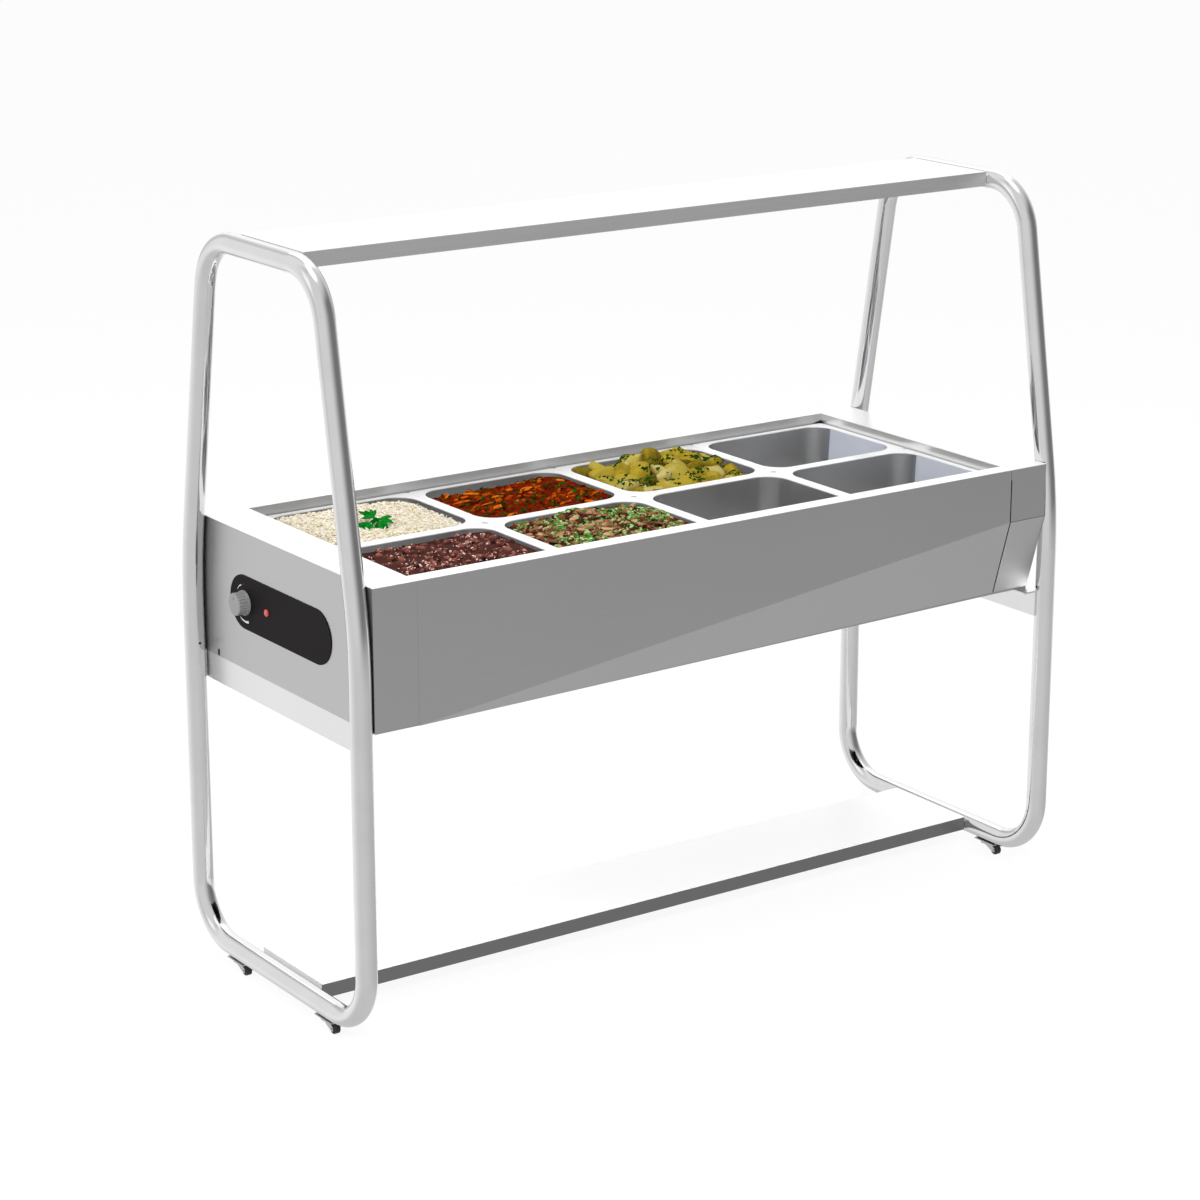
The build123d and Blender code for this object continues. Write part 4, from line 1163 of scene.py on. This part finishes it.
# %% Rice and greens
rice_stops = [
    (0.0, (0.52, 0.41, 0.21)), (0.3, (0.73, 0.64, 0.45)),
    (0.65, (0.84, 0.78, 0.65)), (1.0, (0.94, 0.91, 0.84))]
parsley_stops = [(0.0, (0.0012, 0.041, 0.0035)), (1.0, (0.0059, 0.22, 0.019))]
herb_stops = [(0.0, (0.0047, 0.026, 0.0024)), (1.0, (0.035, 0.14, 0.012))]
green_stops = [(0.0, (0.0094, 0.047, 0.0071)), (0.5, (0.094, 0.35, 0.047)), (1.0, (0.5, 0.8, 0.33))]
rice_look = food_look("rice", rice_stops, roughness=0.6, grain=120.0, relief=0.0006)
parsley_look = food_look("parsley", parsley_stops, roughness=0.5, grain=160.0, relief=0.0004)
herb_look = food_look("herb", herb_stops, roughness=0.5, grain=200.0, relief=0.0004)
green_look = food_look("green", green_stops, roughness=0.5, grain=180.0, relief=0.0005)
print("looks:", rice_look.name, parsley_look.name, herb_look.name, green_look.name)

# %% Stew, potatoes, beans and meat
stew_stops = [
    (0.0, (0.026, 0.0035, 0.0004)), (0.45, (0.19, 0.013, 0.0006)),
    (0.75, (0.45, 0.053, 0.0012)), (1.0, (0.73, 0.19, 0.0071))]
potato_stops = [
    (0.0, (0.035, 0.024, 0.0024)), (0.35, (0.18, 0.13, 0.012)), (0.55, (0.4, 0.29, 0.024)),
    (0.75, (0.42, 0.33, 0.053)), (1.0, (0.61, 0.53, 0.22))]
# The top of the bean ramp is the pale colour of the painted glints on the beans.
bean_stops = [
    (0.0, (0.012, 0.0035, 0.0029)), (0.5, (0.1, 0.028, 0.021)),
    (0.8, (0.32, 0.12, 0.088)), (1.0, (0.94, 0.68, 0.6))]
meat_stops = [
    (0.0, (0.012, 0.0047, 0.0047)), (0.4, (0.15, 0.05, 0.026)),
    (0.75, (0.35, 0.16, 0.083)), (1.0, (0.61, 0.39, 0.21))]
stew_look = food_look("stew", stew_stops, roughness=0.4, grain=140.0, relief=0.002, coat=0.02, mottle=0.8)
potato_look = food_look("potato", potato_stops, roughness=0.45, grain=75.0, relief=0.001, mottle=0.4)
bean_look = food_look("bean", bean_stops, roughness=0.35, grain=150.0, relief=0.0008, coat=0.06, mottle=0.5)
meat_look = food_look("meat", meat_stops, roughness=0.5, grain=110.0, relief=0.0012, mottle=0.5)
print("looks:", stew_look.name, potato_look.name, bean_look.name, meat_look.name)

# %% [markdown]
# ## Rice
# Boiled rice is a heap of long grains. Each grain is a small stretched ball that lies nearly flat. A sprig
# of flat parsley tops it: lobed leaves that fan out from one point, bent a little so that they catch light.
# The grains are strewn by chance, but the sprig is one piece that is seen as such, so its lobes are listed
# one by one.

# %% Rice
rice = Dish("rice_dish", "rear", 1, "food_rice")
rice_height = surface(rim_z - 0.006, heap=0.005, lump=0.006, scale=0.018, seed=1.0, bank=-0.006)
food_bed("rice_bed", rice, rice_height, rice_look, tone=0.45)
grain_count = 4800
flat = strew(grain_count, margin=0.003)
places = at_height(flat, rice_height, rng.uniform(-0.0005, 0.0025, grain_count))
turns = tumbled(grain_count, tilt=0.35, roll=pi)
grain_size = sized(grain_count, 0.85, 1.15, [0.0044, 0.0014, 0.0013])
grain_tone = rng.normal(0.66, 0.26, grain_count).clip(0.0, 1.0)
copies("rice_grains", rice, pebble(6, 4), places, turns, grain_size, grain_tone, rice_look)

# %% Parsley leaves
# Each leaf is a hub and the tips of its lobes, in millimetres across the sprig and up its slope.
sprig_leaves = [
    ((-9, 3), [(-34, 17), (-23, 20), (-13, 23), (-5, 21), (-27, 1), (-24, 8)]),
    ((4, -1), [(24, 5), (21, 8), (28, -10), (25, -4)]),
    ((-13, -10), [(-35, -13), (-34, -20), (-31, -29), (-23, -28)]),
    ((-9, -13), [(-14, -39), (-17, -34), (-7, -36), (-10, -28)]),
    ((2, -8), [(10, -32), (14, -27), (20, -22), (18, -14), (-3, -27)]),
]
lobes = [((0, 0), hub) for hub, _ in sprig_leaves]
lobes += [(hub, tip) for hub, tips in sprig_leaves for tip in tips]
mm_per_metre = 1000
starts = np.array([start for start, _ in lobes]) / mm_per_metre
ends = np.array([end for _, end in lobes]) / mm_per_metre
lobe_count = len(lobes)
print("sprig of", len(sprig_leaves), "leaves with", lobe_count, "lobes and stalks")

# %% Parsley
sprig = np.array([-0.0053, -0.0415, rim_z + 0.0137])
sprig_tilt = radians(32.0)
across = np.array([0.82, -0.572, 0.0])
away = np.array([0.572, 0.82, 0.0])
slope = away * cos(sprig_tilt) + np.array([0.0, 0.0, sin(sprig_tilt)])
facing = np.cross(across, slope)
middle = (starts + ends) / 2
run = ends - starts
lobe_length = np.linalg.norm(run, axis=1)
along = (run[:, :1] * across + run[:, 1:] * slope) / lobe_length[:, None]
turns = np.stack([along, np.cross(facing, along), np.tile(facing, (lobe_count, 1))], axis=-1)
wobble = facing * rng.uniform(-0.001, 0.001, (lobe_count, 1))
places = sprig + middle[:, :1] * across + middle[:, 1:] * slope + wobble
stalk_half = 0.003
lobe_half = 0.0039
lobe_thin = 0.0007
lobe_overlap = 0.56
lobe_width = np.where(np.arange(lobe_count) < len(sprig_leaves), stalk_half, lobe_half)
lobe_size = np.column_stack([lobe_length * lobe_overlap, lobe_width, np.full(lobe_count, lobe_thin)])
lobe_tone = rng.uniform(0.25, 0.95, lobe_count)
lobe_bend = np.full(lobe_count, 0.001)
copies("parsley", rice, pebble(10, 8), places, turns, lobe_size, lobe_tone, parsley_look, lobe_bend)

# %% [markdown]
# ## Tomato stew
# The stew is a wet, lumpy bed with soft lumps of tomato, longer strips of orange pepper, and chopped
# parsley strewn over it. The strips are boxy stretched balls, bent along their length. A few of them are
# seen clearly, so they are listed one by one, and the rest are strewn.

# %% Stew and lumps
stew = Dish("tomato_stew_dish", "rear", 2, "food_tomato_stew")
stew_height = surface(rim_z - 0.016, heap=0.008, lump=0.005, scale=0.022, seed=5.0, bank=0.009)
food_bed("stew_bed", stew, stew_height, stew_look, tone=0.33, rings=56)
lump_count = 620
flat = strew(lump_count, margin=0.004)
places = at_height(flat, stew_height, rng.uniform(-0.0028, 0.0006, lump_count))
turns = tumbled(lump_count, tilt=0.3, roll=pi)
lump_size = sized(lump_count, 0.5, 1.3, [0.0075, 0.0038, 0.003])
lump_tone = rng.normal(0.4, 0.2, lump_count).clip(0.0, 0.95)
lump_bend = rng.uniform(0, 0.002, lump_count)
stew_lumps = copies(
    "stew_lumps", stew, pebble(8, 6), places, turns, lump_size, lump_tone, stew_look, lump_bend)

# %% Strips of pepper
strip_spots = [
    (-90, 60), (-99, -4), (7, 104), (39, 99), (45, 14), (86, -3),
    (91, -31), (134, 66), (134, -52), (37, -40), (-85, 108)]
strewn_strips = 46
strip_flat = np.vstack([np.array(strip_spots) / mm_per_metre, strew(strewn_strips, margin=0.012)])
strip_count = len(strip_flat)
places = at_height(strip_flat, stew_height, rng.uniform(0.001, 0.003, strip_count))
strip_yaw = rng.uniform(-0.5, 0.9, strip_count)
strip_pitch = rng.normal(0, 0.12, strip_count)
turns = spins(strip_yaw, strip_pitch, rng.normal(0, 0.4, strip_count))
strip_size = sized(strip_count, 0.5, 1.1, [0.016, 0.0045, 0.0016])
strip_tone = rng.normal(0.76, 0.12, strip_count).clip(0.5, 1.0)
strip_bend = rng.uniform(0.0, 0.003, strip_count)
strip = pebble(8, 10, square=0.7)
copies("stew_strips", stew, strip, places, turns, strip_size, strip_tone, stew_look, strip_bend)

# %% Chopped parsley
flakes_wanted = 520
flake_lift = 0.0007
flat = strew(flakes_wanted * 4, margin=0.006)
spots, normals = drop_onto(*stew_lumps, flat, most=flakes_wanted)
flake_count = len(spots)
turns = upright(normals)
flake_size = sized(flake_count, 0.4, 1.5, [0.0044, 0.0032, 0.0006])
flake_tone = rng.uniform(0.0, 0.8, flake_count)
flake_bend = rng.uniform(0.0, 0.001, flake_count)
lifted = spots + normals * flake_lift
copies("stew_parsley", stew, broad_leaf, lifted, turns, flake_size, flake_tone, herb_look, flake_bend)

# %% [markdown]
# ## Potatoes
# Boiled potatoes are halved and quartered, so a chunk is a lumpy ball with two flat cuts. A cut is made by
# moving every point beyond a plane back onto that plane, which is simpler than a boolean and keeps the mesh
# closed. The large chunks lie in staggered rows, with smaller ones filling the spaces below, and the herbs
# are dropped onto whatever lies highest.

# %% Potato chunk
potato = Dish("potato_dish", "rear", 3, "food_potato")
potato_height = surface(rim_z - 0.02, heap=0.012, lump=0.003, scale=0.03, seed=9.0)
# The bed is dark, painted shade where it shows between the chunks.
food_bed("potato_bed", potato, potato_height, potato_look, tone=0.1)
chunk_template, chunk_faces = pebble(20, 14, square=0.92)
chunk_shape = np.array([0.5, 0.42, 0.25])
chunk_lumps = 0.16
chunk_cuts = 2


def chunk(size):
    """The points of one lumpy potato with flat cuts."""
    seed = rng.uniform(0, 50, 3)
    points = np.array(chunk_template)
    lumps = [1.0 + chunk_lumps * noise.fractal(Vector(point * 0.9 + seed), 1.0, 2.0, 2) for point in points]
    points *= np.array(lumps)[:, None]
    for _ in range(chunk_cuts):
        normal = rng.normal(0, 1, 3) * (1, 1, 0.5) + (0, 0, 0.6)
        normal /= np.linalg.norm(normal)
        excess = (points @ normal - rng.uniform(0.4, 0.7)).clip(min=0.0)
        points -= excess[:, None] * normal
    turn = spins(rng.uniform(0, pi, 1), rng.normal(0, 0.25, 1), rng.normal(0, 0.25, 1))[0]
    return (points * chunk_shape * size) @ turn.T


print("chunk of", len(chunk_template), "points with", chunk_cuts, "cuts")

# %% Potato heap
all_points, all_faces, all_tones = [], [], []
chunk_columns, chunk_rows = 7, 5
chunk_reach = inside_half - 0.02
heap_drop = 0.01
heap_rise = 0.007
filler_count = 64


def add_chunk(x, y, z, size, tone):
    """One more potato in the heap."""
    half = size * chunk_shape[1]
    x = np.clip(x, -inside_half[0] + half, inside_half[0] - half)
    y = np.clip(y, -inside_half[1] + half, inside_half[1] - half)
    start = sum(len(points) for points in all_points)
    points = keep_inside(chunk(size) + (x, y, z))
    all_points.append(points)
    all_faces.extend([tuple(start + i for i in face) for face in chunk_faces])
    all_tones.append(np.full(len(points), tone))


for row in range(chunk_rows):
    for column in range(chunk_columns):
        part_x = 2 * (column + 0.5 * (row % 2)) / (chunk_columns - 0.5) - 1
        part_y = 2 * (row + 0.5) / chunk_rows - 1
        x, y = chunk_reach * (part_x, part_y) + rng.normal(0, 0.004, 2)
        rise = heap_rise * (1.0 - part_x * part_x) + heap_rise * part_y
        z = rim_z - heap_drop + rise + rng.normal(0, 0.003)
        chunk_size = rng.uniform(0.044, 0.062)
        add_chunk(x, y, z, chunk_size, tone=rng.uniform(0.3, 0.92))
for x, y in strew(filler_count, margin=0.014):
    z = rim_z - rng.uniform(0.010, 0.018)
    chunk_size = rng.uniform(0.028, 0.042)
    add_chunk(x, y, z, chunk_size, tone=rng.uniform(0.3, 0.9))
potato_points = np.vstack(all_points)
placed = potato_points + pan_centre(potato)
tones = np.concatenate(all_tones)
potatoes = make_piece(
    "potato_chunks", placed, all_faces, potato_look, pan_set(potato), tones, mirrored=False)

# %% Herbs on the potatoes
herbs_wanted = 720
herb_margin = 0.008
herb_lift = 0.0004
flat = clustered(strew(30, margin=0.012), herbs_wanted, spread=0.008)
flat = flat.clip(-inside_half + herb_margin, inside_half - herb_margin)
spots, normals = drop_onto(potato_points, all_faces, flat)
herb_count = len(spots)
turns = upright(normals)
herb_size = sized(herb_count, 0.5, 1.5, [0.0036, 0.0026, 0.0005])
herb_tone = rng.uniform(0.0, 0.8, herb_count)
lifted = spots + normals * herb_lift
copies("potato_herbs", potato, small_leaf, lifted, turns, herb_size, herb_tone, herb_look)

# %% [markdown]
# ## Beans
# The beans lie half sunk in a dark, glossy sauce. A bean is a stretched ball with a bend, and the wet coat
# gives each one its own highlight. Small pale bits on top are painted highlights that stand in for wet
# glints: little balls that are dropped onto the beans, and every fifth one is larger.

# %% Beans
bean = Dish("bean_dish", "front", 1, "food_beans")
bean_height = surface(rim_z - 0.012, heap=0.005, lump=0.003, scale=0.03, seed=13.0, bank=0.005)
food_bed("bean_sauce", bean, bean_height, bean_look, tone=0.31)
bean_count = 430
flat = strew(bean_count, margin=0.006)
places = at_height(flat, bean_height, rng.uniform(-0.0042, 0.0012, bean_count))
turns = tumbled(bean_count, tilt=0.3, roll=2 * pi)
bean_size = sized(bean_count, 0.8, 1.2, [0.0076, 0.0046, 0.0042])
pale_share = 0.1
is_pale = rng.uniform(0, 1, bean_count) < pale_share
bean_tone = np.where(is_pale, 0.66, rng.normal(0.47, 0.22, bean_count)).clip(0.0, 0.7)
bean_bend = np.full(bean_count, 0.0018)
beans = copies("beans", bean, pebble(10, 8), places, turns, bean_size, bean_tone, bean_look, bean_bend)

# %% Painted glints on the beans
# Small pale bits that stand in for glints: painted highlights.
painted_glints_wanted = 560
large_painted_glint_step = 5
large_painted_glint_factor = 2.2
flat = strew(painted_glints_wanted * 3, margin=0.008)
spots, normals = drop_onto(*beans, flat, most=painted_glints_wanted)
painted_glint_count = len(spots)
turns = upright(normals)
large_painted_glints = np.where(np.arange(painted_glint_count) % large_painted_glint_step == 0, large_painted_glint_factor, 1.0)[:, None]
painted_glint_size = large_painted_glints * rng.uniform(0.5, 1.5, (painted_glint_count, 1)) * np.array([0.0018, 0.0011, 0.0006])
painted_glint_tone = (rng.normal(0.92, 0.14, painted_glint_count) - 0.1 * (large_painted_glints[:, 0] - 1.0)).clip(0.6, 1.0)
copies("bean_painted_glints", bean, pebble(8, 6), spots, turns, painted_glint_size, painted_glint_tone, bean_look)

# %% [markdown]
# ## Meat with herbs
# Browned strips of meat lie crosswise in a heap, and a lot of chopped green herbs is strewn over them. The
# herbs are dropped onto the strips, so they lie on top and follow the heap. Chopped herbs fall in tufts, so
# most of them gather round a few centres.

# %% Meat strips
meat = Dish("herb_meat_dish", "front", 2, "food_herb_meat")
plain_meat = surface(rim_z - 0.01, heap=0.008, lump=0.005, scale=0.025, seed=17.0, bank=0.004)
clump = np.array([0.01, 0.09])
clump_width = 0.028
clump_rise = 0.012


def meat_height(x, y):
    """The meat's surface, with one clump that stands higher at the rear."""
    reach = np.hypot(x - clump[0], y - clump[1]) / clump_width
    return plain_meat(x, y) + clump_rise * np.exp(-reach * reach)


# The bed is dark, painted shade where it shows between the strips.
food_bed("meat_bed", meat, meat_height, meat_look, tone=0.15)
meat_count = 820
flat = strew(meat_count, margin=0.006)
places = at_height(flat, meat_height, rng.uniform(-0.002, 0.003, meat_count))
meat_yaw = rng.uniform(0, 2 * pi, meat_count)
meat_pitch = rng.normal(0, 0.2, meat_count)
turns = spins(meat_yaw, meat_pitch, rng.normal(0, 0.6, meat_count))
meat_size = sized(meat_count, 0.55, 1.2, [0.0115, 0.0042, 0.0024])
meat_tone = rng.normal(0.6, 0.3, meat_count).clip(0.0, 1.0)
meat_bend = rng.uniform(-0.001, 0.004, meat_count)
strip = pebble(8, 8, square=0.75)
meat_strips = copies("meat_strips", meat, strip, places, turns, meat_size, meat_tone, meat_look, meat_bend)

# %% Chopped herbs
greens_wanted = 1150
green_margin = 0.006
green_lift = 0.0005
tufted = clustered(strew(60, margin=0.008), greens_wanted, spread=0.009)
flat = np.vstack([tufted, strew(greens_wanted // 2, margin=0.004)])
flat = flat.clip(-inside_half + green_margin, inside_half - green_margin)
spots, normals = drop_onto(*meat_strips, rng.permutation(flat), most=greens_wanted)
green_count = len(spots)
turns = upright(normals)
green_size = sized(green_count, 0.5, 1.6, [0.0036, 0.0027, 0.0006])
green_tone = rng.normal(0.5, 0.32, green_count).clip(0.0, 1.0)
green_bend = rng.uniform(0.0, 0.0012, green_count)
lifted = spots + normals * green_lift
copies("meat_herbs", meat, small_leaf, lifted, turns, green_size, green_tone, green_look, green_bend)
